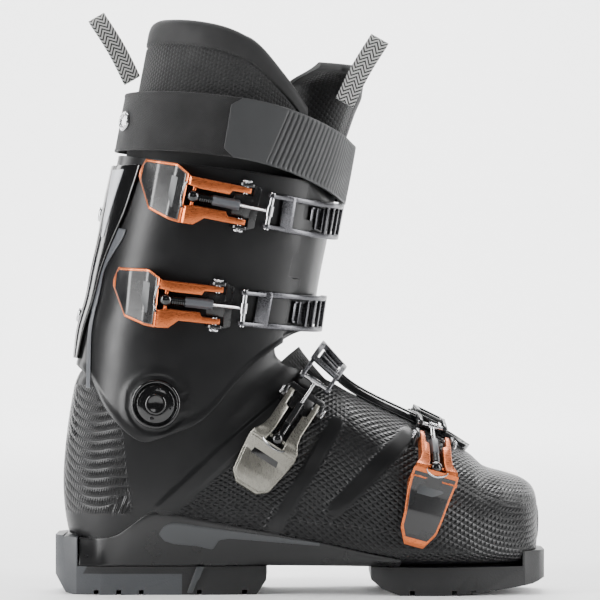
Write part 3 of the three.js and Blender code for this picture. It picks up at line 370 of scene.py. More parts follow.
# ---- Materials -----------------------------------------------------------------------------
class Nodes:
    """Shorthand for building a node tree."""

    def __init__(self, name):
        self.material = bpy.data.materials.new(name)
        self.material.use_nodes = True
        self.tree = self.material.node_tree
        self.shader = self.tree.nodes["Principled BSDF"]

    def add(self, kind, settings=None, **inputs):
        node = self.tree.nodes.new("ShaderNode" + kind)
        for key, value in (settings or {}).items():
            setattr(node, key, value)
        for key, value in inputs.items():
            by_number = key[0] == "i" and key[1:].isdigit()
            self.put(node.inputs[int(key[1:]) if by_number else key], value)
        return node

    def put(self, socket, value):
        if isinstance(value, bpy.types.NodeSocket):
            self.tree.links.new(value, socket)
        else:
            socket.default_value = value

    def math(self, operation, a, b=0.0):
        return self.add("Math", {"operation": operation}, i0=a, i1=b).outputs[0]

    def noise(self, scale, detail=3.0, rough=0.55, where=None):
        node = self.add("TexNoise", None, Scale=scale, Detail=detail, Roughness=rough)
        self.put(node.inputs["Vector"], where or self.place())
        return node.outputs["Fac"]

    def place(self):
        return self.add("TexCoord").outputs["Object"]

    def surface(self):
        """Surface coordinates in millimetres: along and across."""
        uv = self.add("Attribute", {"attribute_name": "mm"}).outputs["Vector"]
        split = self.add("SeparateXYZ", None, i0=uv)
        return self.math("MULTIPLY", split.outputs[0], UV_UNIT), self.math("MULTIPLY", split.outputs[1],
                                                                           UV_UNIT)

    def mask(self, name):
        return self.add("Attribute", {"attribute_name": name}).outputs["Fac"]

    def blend(self, factor, a, b):
        return self.add("Mix", {"data_type": "RGBA"}, i0=factor, i6=a, i7=b).outputs[2]

    def mix(self, factor, a, b):
        return self.add("Mix", {"data_type": "FLOAT"}, i0=factor, i2=a, i3=b).outputs[0]

    def remap(self, value, a, b, c, d):
        return self.add("MapRange", None, i0=value, i1=a, i2=b, i3=c, i4=d).outputs[0]


def rgb(value, share=1.0):
    parts = [((value >> shift) & 255) / 255 for shift in (16, 8, 0)]
    return tuple((p / 12.92 if p <= 0.04045 else ((p + 0.055) / 1.055) ** 2.4) * share for p in parts) + (1,)


def finish(name, color, rough, metal=0.0, vary=0.12, spread=0.08, grain=900, grain_depth=0.02, coat=0.0,
           sheen=0.0, pattern=None, depth=0.3, other=None, other_mask=None, brushed=None, specular=0.5):
    """A material with cloudy colour, uneven roughness, fine grain and, if wanted, an embossed pattern."""
    n = Nodes(name)
    n.shader.inputs["Metallic"].default_value = metal
    n.shader.inputs["Coat Weight"].default_value = coat
    n.shader.inputs["Coat Roughness"].default_value = 0.08
    n.shader.inputs["Sheen Weight"].default_value = sheen
    n.shader.inputs["Sheen Roughness"].default_value = 0.4
    n.shader.inputs["Specular IOR Level"].default_value = specular
    cloud = n.noise(35, 4)
    base = n.blend(n.remap(cloud, 0.3, 0.7, 0, 1), rgb(color, 1 - vary), rgb(color, 1 + vary))
    fine = n.noise(grain, 2)
    height = n.math("MULTIPLY", fine, grain_depth)
    roughness = n.remap(n.noise(60, 5), 0.25, 0.75, rough - spread, rough + spread)
    if brushed:
        stretch = n.add("Mapping", None, Vector=n.place(), Scale=brushed).outputs[0]
        lines = n.noise(1.0, 3, 0.7, stretch)
        roughness = n.remap(lines, 0.3, 0.7, rough - spread, rough + spread)
        base = n.blend(n.remap(lines, 0.3, 0.7, 0, 1), rgb(color, 1 - vary), rgb(color, 1 + vary))
    if pattern:
        shape, tint = pattern(n)
        height = n.math("ADD", height, n.math("MULTIPLY", shape, depth))
        if tint is not None:
            base = n.blend(tint, base, other)
    if other_mask:
        base = n.blend(n.mask(other_mask), base, other)
    bump = n.add("Bump", None, Strength=1.0, Distance=MM, Height=height)
    n.put(n.shader.inputs["Base Color"], base)
    n.put(n.shader.inputs["Roughness"], roughness)
    n.put(n.shader.inputs["Normal"], bump.outputs[0])
    materials[name] = n.material
    return n


SCALE_RATE = 0.25      # scales per millimetre


def scales(n):
    """Embossed diamond scales."""
    along, across = n.surface()
    a = n.math("ADD", n.math("MULTIPLY", along, SCALE_RATE), n.math("MULTIPLY", across, SCALE_RATE * 0.75))
    b = n.math("SUBTRACT", n.math("MULTIPLY", along, SCALE_RATE),
               n.math("MULTIPLY", across, SCALE_RATE * 0.75))
    facet = n.math("MINIMUM", n.math("PINGPONG", a, 0.5), n.math("PINGPONG", b, 0.5))
    return n.math("MULTIPLY", facet, n.mask("scales")), None


def hexes(n):
    """Raised mesh of small hexagons, from three waves."""
    along, across = n.surface()
    total = None
    for turn in (0, 60, 120):
        c, s = math.cos(math.radians(turn)), math.sin(math.radians(turn))
        wave = n.math("ADD", n.math("MULTIPLY", along, 2.6 * c), n.math("MULTIPLY", across, 2.6 * s))
        wave = n.math("COSINE", wave)
        total = wave if total is None else n.math("ADD", total, wave)
    return n.math("MULTIPLY", n.remap(total, -1.2, 0.6, 0, 1), n.mask("mesh")), None


def weave(n):
    along, across = n.surface()
    a = n.math("SINE", n.math("MULTIPLY", along, 5.2))
    b = n.math("SINE", n.math("MULTIPLY", across, 5.2))
    return n.math("MULTIPLY", a, b), None


def herringbone(n):
    """Light and dark yarns in chevrons along the webbing."""
    along, across = n.surface()
    zigzag = n.math("PINGPONG", across, 3.3)
    stripe = n.math("FRACT", n.math("MULTIPLY", n.math("ADD", along, n.math("MULTIPLY", zigzag, 1.1)),
                                    0.36))
    light = n.remap(n.math("PINGPONG", stripe, 0.5), 0.19, 0.27, 0, 1)
    yarn = n.math("ABSOLUTE", n.math("SINE", n.math("MULTIPLY", across, 3.8)))
    return n.math("ADD", n.math("MULTIPLY", light, 0.5), n.math("MULTIPLY", yarn, 0.5)), light


def shell_finish():
    n = finish("shell", 0x101011, 0.33, vary=0.14, spread=0.05, grain=2600, grain_depth=0.03,
               pattern=scales, depth=1.5, specular=0.32)
    gloss = n.mask("gloss")
    link = n.shader.inputs["Roughness"].links[0].from_socket
    n.put(n.shader.inputs["Roughness"], n.mix(gloss, link, 0.13))
    color = n.shader.inputs["Base Color"].links[0].from_socket
    n.put(n.shader.inputs["Base Color"], n.blend(gloss, color, rgb(0x0A0A0B)))


shell_finish()
finish("gloss", 0x0B0B0C, 0.14, vary=0.2, spread=0.04, grain=500, grain_depth=0.004, coat=0.3)
finish("black_metal", 0x141415, 0.26, vary=0.2, spread=0.06, grain=1800, grain_depth=0.02, coat=0.2)
finish("frame", 0x0E0E0F, 0.3, vary=0.2, spread=0.06, grain=1600, grain_depth=0.03)
finish("trim", 0x4A4C50, 0.34, vary=0.08, spread=0.05, grain=1500, grain_depth=0.02)
finish("trim_dark", 0x343638, 0.36, vary=0.08, spread=0.05, grain=1500, grain_depth=0.02)
# Light grey for the upper spine plates: a painted highlight, standing for a lamp's reflection on glossy
# black.
finish("spine_highlight_paint", 0xB4B6BA, 0.3, vary=0.06, spread=0.05, grain=1500, grain_depth=0.01)
finish("rubber", 0x151516, 0.62, vary=0.2, spread=0.1, grain=1200, grain_depth=0.12)
finish("strap_rubber", 0x2B2C2D, 0.5, vary=0.08, spread=0.06, grain=1600, grain_depth=0.05)
finish("liner", 0x0C0C0D, 0.72, vary=0.2, spread=0.08, grain=2400, grain_depth=0.06, sheen=0.12,
       pattern=hexes, depth=0.3)
finish("liner_smooth", 0x131415, 0.62, vary=0.15, spread=0.06, grain=2800, grain_depth=0.05, sheen=0.1)
finish("strap_cloth", 0x0B0B0C, 0.8, vary=0.2, spread=0.08, grain=3000, grain_depth=0.1, sheen=0.15,
       pattern=weave, depth=0.12)
finish("webbing", 0x1A1A1A, 0.75, vary=0.2, spread=0.1, grain=3500, grain_depth=0.15, sheen=0.2,
       pattern=herringbone, depth=0.25, other=rgb(0xA6A6A4))
# Metals: name, colour, roughness, metallic, colour and roughness spread, grain depth, brushing along x, y, z.
for row in (("copper", 0xC0663A, 0.3, 0.85, 0.08, 0.07, 0.02, (300, 300, 3000)),
            ("titanium", 0x85837B, 0.3, 0.9, 0.08, 0.08, 0.02, (2500, 2500, 250)),
            ("gunmetal", 0x515154, 0.27, 0.9, 0.12, 0.08, 0.02, (300, 2500, 2500)),
            ("steel", 0xC4C4C6, 0.2, 1.0, 0.06, 0.06, 0.01, (2500, 400, 2500))):
    name, color, rough, metal, vary, spread, depth, brushed = row
    finish(name, color, rough, metal=metal, vary=vary, spread=spread, grain=2500, grain_depth=depth,
           brushed=brushed)
finish("foam", 0x2A2D30, 0.85, vary=0.15, spread=0.08, grain=900, grain_depth=0.2)
finish("floor", 0xFBFBFB, 0.75, vary=0.01, spread=0.04, grain=200, grain_depth=0.01)
FINISH_OF_SLOT = {"shell_plastic": "gloss", "gloss_plastic": "gloss", "trim_plastic": "trim",
                  "sole_rubber": "rubber", "liner_fabric": "liner_smooth", "strap_fabric": "strap_cloth",
                  "strap_rubber": "strap_rubber",
                  "webbing": "webbing", "copper_metal": "copper", "titanium_metal": "titanium",
                  "gunmetal": "gunmetal", "steel": "steel", "foam": "foam"}
slot_of_node = {row["node"]: row["material_slot"] for row in frame["record"]["subparts"]}
for node, obj in frame["nodes"].items():
    for place in obj.material_slots:
        place.material = materials[FINISH_OF_SLOT[slot_of_node[node]]]

# ---- Studio --------------------------------------------------------------------------------
def sweep():
    """Pale floor that curves up into a backdrop behind the boot."""
    path = [(-0.9, 0.0), (2.6, 0.0)]
    path += [(2.6 + 0.9 * math.sin(t), 0.9 - 0.9 * math.cos(t)) for t in np.linspace(0.1, math.pi / 2, 14)]
    path.append((3.5, 3.5))
    points = [(x, y, z) for y, z in path for x in (-1.9, 1.9)]
    mesh = bpy.data.meshes.new("floor")
    mesh.from_pydata(points, [], [[2 * i, 2 * i + 1, 2 * i + 3, 2 * i + 2] for i in range(len(path) - 1)])
    mesh.shade_smooth()
    mesh.materials.append(materials["floor"])
    obj = bpy.data.objects.new("floor", mesh)
    bpy.context.scene.collection.objects.link(obj)


sweep()

# ---- Lower shell ---------------------------------------------------------------------------
SOLE_SEAT = 18.0
HEEL_SEAT = (-138.0, 36.85)
TOE_SEAT = (138.0, 27.35)


def throat_half(key):
    return lerp(9, 42, smooth(key, 6, 13))


RIBS = [([(-84, 53), (-46, 88), (-4, 124)], 5.2), ([(-15, 43), (22, 106)], 5.0),
        ([(22, 54), (66, 99)], 5.6)]


def shell_masks(p):
    """Scale texture, glossy parts and relief of the shell, from places on its surface."""
    x, z = p[..., 0], p[..., 2]
    rib_line = (x + 84) * 0.66 - (z - 53) * 0.75
    fore = smooth(rib_line, 5.5, 8)
    heel = smooth(-104 - 0.12 * (z - 60) - x, 0, 3) * smooth(z, 49, 53) * (1 - smooth(z, 127, 131))
    ribs = np.zeros(np.shape(x))
    for line, half in RIBS:
        distance = line_distance(x, z, line)[0]
        ribs = np.maximum(ribs, 1 - smooth(distance, half - 0.9, half + 0.9))
    low = 1 - smooth(z - sole_frame_top(x), 0.4, 1.0)
    side = smooth(z, 22, 26)
    scale = np.clip(fore + heel, 0, 1) * (1 - ribs) * (1 - low)
    insert = smooth(-138 - x, 0, 3) * smooth(z, 94, 99)
    return scale, ribs, low * side, insert


SOLE_FRAME = [[-150, 36], [-117, 36], [-95, 50], [-87, 52], [-50, 45.5], [12, 33.5], [52, 25], [80, 21],
              [150, 20]]


def sole_frame_top(x):
    return track(SOLE_FRAME, np.clip(x, -149.9, 149.9))[0]


def shell_place(u, v, offset):
    """u from the toe tip to the collar, v round from one side of the throat to the other."""
    key = 17 * np.clip((u - 0.03) / 0.97, 0, 1)
    half = throat_half(key) * smooth(key, 5.35, 6.0)
    angle = lerp(half, 360 - half, v)
    p = on_shell(key, angle, offset)
    dome = np.clip(1 - u / 0.03, 0, 1) * math.pi / 2
    tip = on_shell(np.zeros_like(u), angle, offset)
    centre = np.array([149.2, 4, 43])
    domed = centre + (tip - centre) * np.cos(dome)[..., None]
    domed[..., 0] += 1.4 * np.sin(dome)
    p = np.where((u < 0.03)[..., None], domed, p)
    if np.ndim(offset) or offset > -1:
        ribs = shell_masks(p)[1]
        relief = 0.75 * ribs
        grow = on_shell(key, angle, 1.0) - on_shell(key, angle, 0.0)
        p = p + grow * relief[..., None]
    for (edge, floor), side in ((HEEL_SEAT, -1), (TOE_SEAT, 1)):
        out = smooth(side * (p[..., 0] - edge), 0, 0.4)
        p[..., 2] = np.maximum(p[..., 2], floor * out)
    p[..., 2] = np.maximum(p[..., 2], SOLE_SEAT)
    return p


shell_options = dict(slot="shell_plastic", bevel=0.5, angle=60,
                     masks={"scales": lambda u, v, p: shell_masks(p)[0] * (p[..., 2] > 20),
                            "gloss": lambda u, v, p: np.clip(shell_masks(p)[2] + shell_masks(p)[3], 0, 1)})
lower_shell = slab("shell_skin", shell_place, 300, 260, -SHELL_WALL, 0.0, "shell", "shell", **shell_options)
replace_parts(lower_shell, "lower_shell")

# Overlap ridge on the instep: two rails with a groove between them.
GASKET_FIRST, GASKET_LAST = 4.15, 8.9


def gasket_place(u, v, offset):
    key = lerp(GASKET_FIRST, GASKET_LAST, u)
    half = 13 * np.sqrt(np.clip(1 - np.clip((0.09 - u) / 0.09, 0, 1) ** 2, 0.02, 1))
    return on_shell(key, lerp(-half, half, v), offset)


def gasket_top(u, v):
    groove = 1 - smooth(np.abs(np.abs(v - 0.5) - 0.24), 0.03, 0.07)
    crown = 1 - 1.1 * np.abs(2 * v - 1) ** 3
    return 1.6 + 3.2 * crown - 1.9 * groove * smooth(u, 0.03, 0.06)


gasket = slab("instep_rail", gasket_place, 120, 48, 0.35, gasket_top, "gloss", "shell",
              slot="gloss_plastic", bevel=0.4)
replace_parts(gasket, "instep_gasket")

# ---- Cuff ----------------------------------------------------------------------------------
CUFF_FRONT_TOP, CUFF_BACK_TOP = 255.0, 273.0
CUFF_LOWER = [[0, 165], [35, 162], [58, 147], [70, 132], [83, 110], [99.5, 97.5], [109, 96.5], [126, 111],
              [147, 134], [165, 141], [180, 142]]
PIVOT = (-88.5, 119.0)


def cuff_lower(angle):
    return track(CUFF_LOWER, around(angle))[0]


def cuff_upper(angle):
    return lerp(CUFF_FRONT_TOP, CUFF_BACK_TOP, (1 - np.cos(np.radians(around(angle)))) / 2)


def cuff_inside(angle):
    return (CUFF_WALL + 0.4) * (1 - smooth(angle, FLAP_EDGE + 30, 180))


FLAP_TABS = [(228, 5, 7.0), (206, 7, -3.0), (192, 4, 6.0)]     # height, half length, degrees forward


def flap_edge(z):
    edge = np.full(np.shape(z), FLAP_EDGE)
    for middle, half, forward in FLAP_TABS:
        edge = edge - forward * (1 - smooth(np.abs(z - middle), half - 1, half + 1))
    return edge


def cuff_relief(p, u):
    """Height of the cuff's mouldings: a lip round the lower edge, a crease and a ring round the pivot."""
    x, z = p[..., 0], p[..., 2]
    lip = 1 - smooth(u, 0.012, 0.045)
    reach = np.hypot(x - PIVOT[0], z - PIVOT[1])
    ring = 0.8 * smooth(reach, 24, 18) - 0.7 * smooth(-np.abs(reach - 17.3), -1.1, -0.5)
    crease = line_distance(x, z, [(-66, 100), (-36, 128), (-8, 152), (16, 166)])[0]
    below = smooth((x + 66) * 0.62 - (z - 100) * 0.78, -0.6, 0.6)
    fold = 0.9 * below * (1 - smooth(z, 158, 172)) * smooth(x, -62, -45)
    line = (1 - smooth(crease, 0.4, 1.0)) * smooth(x, -60, -50)
    return 0.7 * lip + np.where(x < -50, ring, 0) * 0.8 + fold - 0.35 * line


def cuff_place(u, v, offset):
    start = flap_edge(lerp(cuff_lower(FLAP_EDGE), cuff_upper(FLAP_EDGE), u))
    angle = lerp(start, 435, v)
    z = lerp(cuff_lower(angle), cuff_upper(angle), u)
    p = on_shaft(z, angle, cuff_inside(angle) + offset)
    if np.ndim(offset) or offset > 1:
        grow = on_shaft(z, angle, 1.0) - on_shaft(z, angle, 0.0)
        p = p + grow * cuff_relief(p, u)[..., None]
    return p


cuff = slab("cuff_skin", cuff_place, 150, 330, 0.0, CUFF_WALL, "shell", "cuff", slot="shell_plastic",
            bevel=0.7, angle=60,
            segments=3, masks={"scales": lambda u, v, p: u * 0, "gloss": lambda u, v, p: u * 0})
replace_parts(cuff, "cuff")


def patch(name, outline, low, high, material, mirror):
    """A plate on the cuff between two side-plane curves: outline(u) gives (angle0, z0, angle1, z1)."""
    def place(u, v, offset):
        a0, z0, a1, z1 = outline(u)
        angle, z = lerp(a0, a1, v), lerp(z0, z1, v)
        if mirror:
            angle = 360 - angle
        return on_shaft(z, angle, np.maximum(cuff_inside(angle), 0) + offset)
    return slab(name, place, 26, 12, low, high, material, "cuff", slot="gloss_plastic", bevel=0.35)


# Glossy spine up the back, with light grey plates let into it; the plates are a painted highlight, standing
# for the side lamp's reflection on the spine's glossy facets.
SPINE = [[146, 16], [165, 22], [200, 27], [218, 33], [236, 40], [252, 43], [266, 45]]
SPINE_SPAN = (146, 266)
SPINE_UNDER, SPINE_TOP = CUFF_WALL + 0.7, CUFF_WALL + 3.3


def spine_place(u, v, offset):
    z = lerp(*SPINE_SPAN, u)
    half = track(SPINE, z)[0]
    angle = lerp(180 - half, 180 + half, v)
    return on_shaft(z, angle, np.maximum(cuff_inside(angle), 0) + offset)


def spine_top(u, v):
    groove = 1 - smooth(np.abs(np.abs(v - 0.5) - 0.2), 0.012, 0.03)
    return SPINE_TOP - 0.9 * groove - 0.8 * np.abs(2 * v - 1) ** 4


spine = slab("spine_shell", spine_place, 90, 70, SPINE_UNDER, spine_top, "gloss", "cuff",
             slot="gloss_plastic", bevel=0.5)
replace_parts(spine, "rear_spine")


# Upper spine plate: a painted highlight, placed where the side lamp's reflection falls on the glossy facet.
def painted_highlight_panel(u):
    z = lerp(221, 263, u)
    return lerp(156, 147.5, u), z, lerp(159.5, 163, u), z


def sweep_panel(u):
    z = lerp(174, 226, u)
    inner = lerp(151, 137, smooth(u, 0.45, 1.0))
    return inner, z, np.minimum(inner + lerp(4.5, 7.5, u), 158), z + 1


def strip_panel(u):
    z = lerp(128, 175, u)
    inner = lerp(144, 151, u)
    return inner, z, inner + 4.5, z


for side in (False, True):
    tag = "medial" if side else "lateral"
    # The upper plates carry the painted highlight of the side lamp.
    patch(f"spine_painted_highlight_{tag}", painted_highlight_panel, SPINE_TOP - 0.3, SPINE_TOP + 0.35, "spine_highlight_paint", side)
    patch(f"spine_sweep_{tag}", sweep_panel, CUFF_WALL + 0.1, CUFF_WALL + 1.1, "trim", side)
    patch(f"spine_strip_{tag}", strip_panel, CUFF_WALL + 0.1, CUFF_WALL + 0.9, "trim", side)


def put(name, parts, material, body, local=WORLD, slot=None, bevel=0.0, segments=2, **options):
    points, faces = join(parts)
    return build(name, local(points), faces, material, body, slot=slot, bevel=bevel, segments=segments,
                 **options)


# Ankle pivots: a ringed disc with a turned cap.
DISC_SEAT = 47.6 + 7.6
for side, tag in ((-1, "lateral"), (1, "medial")):
    seat = DISC_SEAT if side < 0 else DISC_SEAT - 3.2
    centre = (PIVOT[0], side * (seat - 6.2), PIVOT[1])
    out = (0, side, 0)
    disc = lathe(centre, out, [(0, 6), (4.9, 6), (5, 15.2), (8.1, 15.2), (8.9, 14.6), (9.1, 13.7),
                               (8.7, 13), (8.0, 12.6), (7.9, 5)], 72)
    disc = put(f"{tag}_pivot_disc", [disc], "gloss", "shell", slot="gloss_plastic")
    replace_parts(disc, f"{tag}_ankle_pivot")
    marks = []
    for t, r in ((1.35, 1.1), (4.45, 1.5), (2.9, 0.6), (6.0, 0.6)):
        spot = (PIVOT[0] + 9.4 * math.cos(t), side * (seat + 2.9), PIVOT[1] + 9.4 * math.sin(t))
        marks.append(lathe(spot, out, [(0, r), (1.0, r), (1.2, r * 0.8)], 16))
    cap = lathe((PIVOT[0], side * (seat + 2.2), PIVOT[1]), out,
                [(0, 11.6), (0.9, 11.6), (1.3, 11.2), (1.3, 6.4), (1.7, 6.1), (2.0, 5.2), (1.6, 4.4),
                 (1.5, 0.6)], 72)
    cap = put(f"{tag}_pivot_button", [cap, *marks], "gloss", "shell", slot="gloss_plastic")
    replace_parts(cap, f"{tag}_pivot_cap")


def shaft_stud(z, angle, offset):
    angle = float(angle)
    foot = on_shaft(z, angle, offset)
    return foot, on_shaft(z, angle, offset + 1.0) - foot


for tag, z in (("upper", 236), ("lower", 172)):
    foot, out = shaft_stud(z, 180, SPINE_TOP - 0.4)
    head = lathe(foot, out, [(0, 5), (0.9, 5), (1.8, 4.5), (2.1, 3.6), (2.1, 2.2), (1.2, 2.0),
                             (1.2, 0.4)], 36)
    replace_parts(put(f"spine_bolt_{tag}", [head], "steel", "cuff", slot="steel"), f"spine_screw_{tag}")

# ---- Liner and tongue ----------------------------------------------------------------------
LINER_RIM = [[0, 292], [40, 298], [50, 303], [68, 322], [90, 345], [112, 354], [150, 358], [180, 357]]
LINER_EDGE = 50.0


def liner_place(u, v, offset):
    angle = lerp(LINER_EDGE, 360 - LINER_EDGE, v)
    top = track(LINER_RIM, around(angle))[0]
    bottom = 172 + 5 * (1 + np.cos(np.radians(angle)))
    return on_shaft(lerp(bottom, top, u), angle, offset)


def liner_rim(u, v):
    """How far a place is from the liner's padded rim, 0 on the rim."""
    return smooth(u, 0.93, 0.905) * smooth(v, 0.012, 0.035) * smooth(1 - v, 0.012, 0.035)


def liner_out(u, v):
    rim = 1 - liner_rim(u, v)
    channel = 1 - smooth(np.abs(u - 0.915), 0.002, 0.008)
    crown = np.sqrt(np.clip(1 - np.clip((u - 0.955) / 0.045, 0, 1) ** 2, 0, 1))
    return -1.4 - 3.2 * (1 - crown) + 0.5 * rim - 0.9 * channel * (np.abs(v - 0.5) < 0.47)


def liner_in(u, v):
    crown = np.sqrt(np.clip(1 - np.clip((u - 0.955) / 0.045, 0, 1) ** 2, 0, 1))
    return -10.8 + 3.2 * (1 - crown)


def liner_mesh(u, v, p):
    return liner_rim(u, v) * smooth(p[..., 2], 280, 284)


shaft_liner = slab("liner_collar", liner_place, 130, 200, liner_in, liner_out, "liner", "cuff",
                   slot="liner_fabric", bevel=1.2, segments=3, masks={"mesh": liner_mesh})
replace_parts(shaft_liner, "shaft_liner")

TONGUE_FLARE = [[188, -1.6], [245, -1.6], [256, -1.2], [268, 0.8], [281, 3], [300, 6.5], [316, 10.5],
                [330, 9]]
TONGUE_SPAN = (188, 330)
TONGUE_HALF = [[188, 44], [240, 52], [281, 56], [300, 58], [316, 58], [330, 48]]


def tongue_place(u, v, depth):
    z = lerp(*TONGUE_SPAN, u)
    half = track(TONGUE_HALF, z)[0]
    angle = lerp(-half, half, v)
    flare = track(TONGUE_FLARE, z)[0]
    sides = lerp(-11.6, flare - 3, smooth(z, 314, 328))
    return on_shaft(z, angle, lerp(flare, sides, smooth(np.abs(angle), 22, 44)) + depth)


def tongue_rim(u, v):
    return smooth(1 - u, 0.035, 0.055) * smooth(0.5 - np.abs(v - 0.5), 0.05, 0.075)


def tongue_out(u, v):
    channel = 1 - smooth(np.abs(1 - u - 0.048), 0.004, 0.012)
    crown = np.clip((u - 0.965) / 0.035, 0, 1) ** 2
    patch_ = smooth(0.2 - np.abs(v - 0.42), 0, 0.03) * smooth(u, 0.5, 0.54) * (1 - smooth(u, 0.86, 0.9))
    return -1.0 - 2.6 * crown - 0.8 * channel + 0.8 * patch_


def tongue_in(u, v):
    return -8.8 + 2.4 * np.clip((u - 0.965) / 0.035, 0, 1) ** 2


tongue = slab("tongue_pad", tongue_place, 120, 110, tongue_in, tongue_out, "liner", "cuff",
              slot="liner_fabric", bevel=1.2,
              segments=3, masks={"mesh": lambda u, v, p: tongue_rim(u, v) * 0.8})
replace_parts(tongue, "shin_tongue")


def foot_liner_place(u, v, offset):
    key = lerp(1.0, 16.9, u)
    half = (throat_half(key) + 3.5) * smooth(key, 5.35, 6.0)
    angle = lerp(half, 360 - half, v)
    p = on_shell(key, angle, offset - SHELL_WALL - 0.5)
    p[..., 2] = np.clip(p[..., 2], 29.4, 166)
    return p


foot_liner = slab("liner_foot", foot_liner_place, 120, 90, -7.5, 0.0, "liner_smooth", "shell",
                  slot="liner_fabric", bevel=1.0)
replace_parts(foot_liner, "foot_liner")


def instep_tongue_place(u, v, offset):
    key = lerp(6.1, 11.6, u)
    half = throat_half(key) - 1.5
    return on_shell(key, lerp(-half, half, v), offset)


def instep_tongue_top(u, v):
    seam = 1 - smooth(np.abs(np.abs(v - 0.5) - 0.38), 0.01, 0.03)
    return -5.9 + 0.5 * np.cos(np.pi * (v - 0.5)) - 0.4 * seam


instep_tongue = slab("tongue_foot", instep_tongue_place, 60, 50, -12.6, instep_tongue_top, "liner", "shell",
                     slot="liner_fabric", bevel=1.0, masks={"mesh": lambda u, v, p: tongue_rim(u, v)})
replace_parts(instep_tongue, "instep_tongue")

# ---- Power strap and pull loops ------------------------------------------------------------
STRAP_HALF = 18.0
STRAP_THICKNESS, OVERLAY_THICKNESS = 2.0, 2.6
STRAP_ENDS = (76, 346)          # degrees round from the shin
OVERLAY_ENDS = (-70, 92)
SEAM_GAP = 0.35                 # clearance between strap and overlay


def strap_middle(angle):
    return 293 - 30 * ((1 + np.cos(np.radians(angle))) / 2) ** 3


def strap_under(angle):
    angle = np.where(angle > 200, angle - 360, angle)
    turn = lerp(5.6, 8.1, smooth(np.abs(angle), 15, 38))
    medial = lerp(5.6, 4.6, smooth(-angle, 10, 60))
    return np.where(angle < 0, medial, lerp(turn, 4.6, smooth(angle, 110, 180)))


def band(first, last, chamfer=0.0):
    def place(u, v, offset):
        angle = lerp(first, last, v)
        end = np.minimum(v, 1 - v) * abs(last - first)
        half = STRAP_HALF - chamfer * (1 - np.clip(end / 4.0, 0, 1))
        z = strap_middle(angle) + lerp(-1, 1, u) * half
        return on_shaft(z, angle, strap_under(angle) + offset)
    return place


def strap_top(u, v):
    edge = 1 - smooth(0.5 - np.abs(u - 0.5), 0.03, 0.07)
    return STRAP_THICKNESS - SEAM_GAP + 0.3 * edge


strap = slab("strap_band", band(*STRAP_ENDS), 30, 240, 0.0, strap_top, "strap_cloth", "cuff",
             slot="strap_fabric", bevel=0.5)
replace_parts(strap, "power_strap")

RIB_PITCH = 2.75


def overlay_top(u, v):
    """Slanted ribs across the rubber, with a plain tab at the open end and a plain border."""
    angle = lerp(*OVERLAY_ENDS, v)
    along = (OVERLAY_ENDS[1] - angle) * 1.08
    slant = along - 7.5 * (u - 0.5)
    rib = smooth(np.abs(np.mod(slant / RIB_PITCH, 1) - 0.5), 0.16, 0.24)
    inside = smooth(slant, 23, 24) * smooth(u, 0.035, 0.055) * smooth(1 - u, 0.035, 0.055)
    return STRAP_THICKNESS + SEAM_GAP + OVERLAY_THICKNESS - 0.6 * (1 - rib) * inside * smooth(v, 0.02, 0.03)


overlay = slab("strap_cover", band(*OVERLAY_ENDS, 5.0), 40, 620, STRAP_THICKNESS + SEAM_GAP, overlay_top,
               "strap_rubber", "cuff", slot="strap_rubber", bevel=0.4, angle=60)
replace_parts(overlay, "strap_overlay")

for tag, angle in (("lateral", 156), ("medial", 204)):
    foot, out = shaft_stud(float(strap_middle(angle)), angle,
                           float(strap_under(np.array(angle))) + STRAP_THICKNESS + 0.1)
    head = lathe(foot, out, [(0, 6.2), (1.2, 6.2), (1.9, 5.6), (2.1, 4.8), (1.8, 4.1), (0.9, 3.8),
                             (0.9, 0.5)], 40)
    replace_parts(put(f"strap_stud_{tag}", [head], "steel", "cuff", slot="steel"), f"strap_rivet_{tag}")


def pull_loop(name, root, tip, width, node, bow):
    """Webbing doubled back at its tip, slightly bowed."""
    root, tip = np.array(root, float), np.array(tip, float)
    length = np.linalg.norm(tip - root)
    along = (tip - root) / length
    across = np.array([-along[2], 0, along[0]])
    spread = 4.0

    def place(u, v, offset):
        radius = spread - 1.9 + offset
        bend = np.clip((v - 0.4) / 0.2, 0, 1) * math.pi
        reach = np.where(v < 0.4, v / 0.4, np.where(v > 0.6, (1 - v) / 0.4, 1))
        p = root + along * (reach * (length - spread) + radius * np.sin(bend))[..., None]
        p = p + across * (width * (u - 0.5) + bow * np.sin(np.pi * reach * 0.9))[..., None]
        pinch = 1 - 0.45 * np.sin(np.pi * reach) ** 2
        p[..., 1] -= radius * np.cos(bend) * pinch
        return p

    loop = slab(name, place, 14, 150, 0.0, 1.7, "webbing", "cuff", slot="webbing", bevel=0.4)
    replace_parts(loop, node)
    return loop


pull_loop("rear_loop", (-105.9, 0, 321.5), (-129, 0, 361.5), 11.5, "rear_pull_loop", -1.2)
pull_loop("front_loop", (27.5, -39, 305), (50, -37, 345), 12.5, "front_pull_loop", 1.2)

# ---- Buckles -------------------------------------------------------------------------------
LEVER_LENGTH = 64.0
ARM_OUT, ARM_IN, PIN_HEIGHT = 11.8, 7.6, 5.9
ARM_BROAD = 5.3                 # inner side of the arms behind their step
# Lever outline at scale 1: [u, v] along its two edges
LEVER_UPPER = [(-64.5, 6.2), (-62, 15.8), (-43.5, 17.4), (-33.8, 11.8), (0, 11.8)]
LEVER_LOWER = [(-64.5, 5.2), (-55, -13.9), (-42.5, -17.5), (-28.5, -17.8), (-23, -11.8), (0, -11.8)]
FOOT_UPPER = [(-64.5, 7.0), (-59, 13.8), (-38, 17.4), (-32, 16.4), (-26, 11.8), (0, 11.8)]
FOOT_LOWER = [(row[0], -row[1]) for row in FOOT_UPPER]
BALL_AT, BAR_AT = 31.0, 17.0
LEVER_CLEAR = 2.8


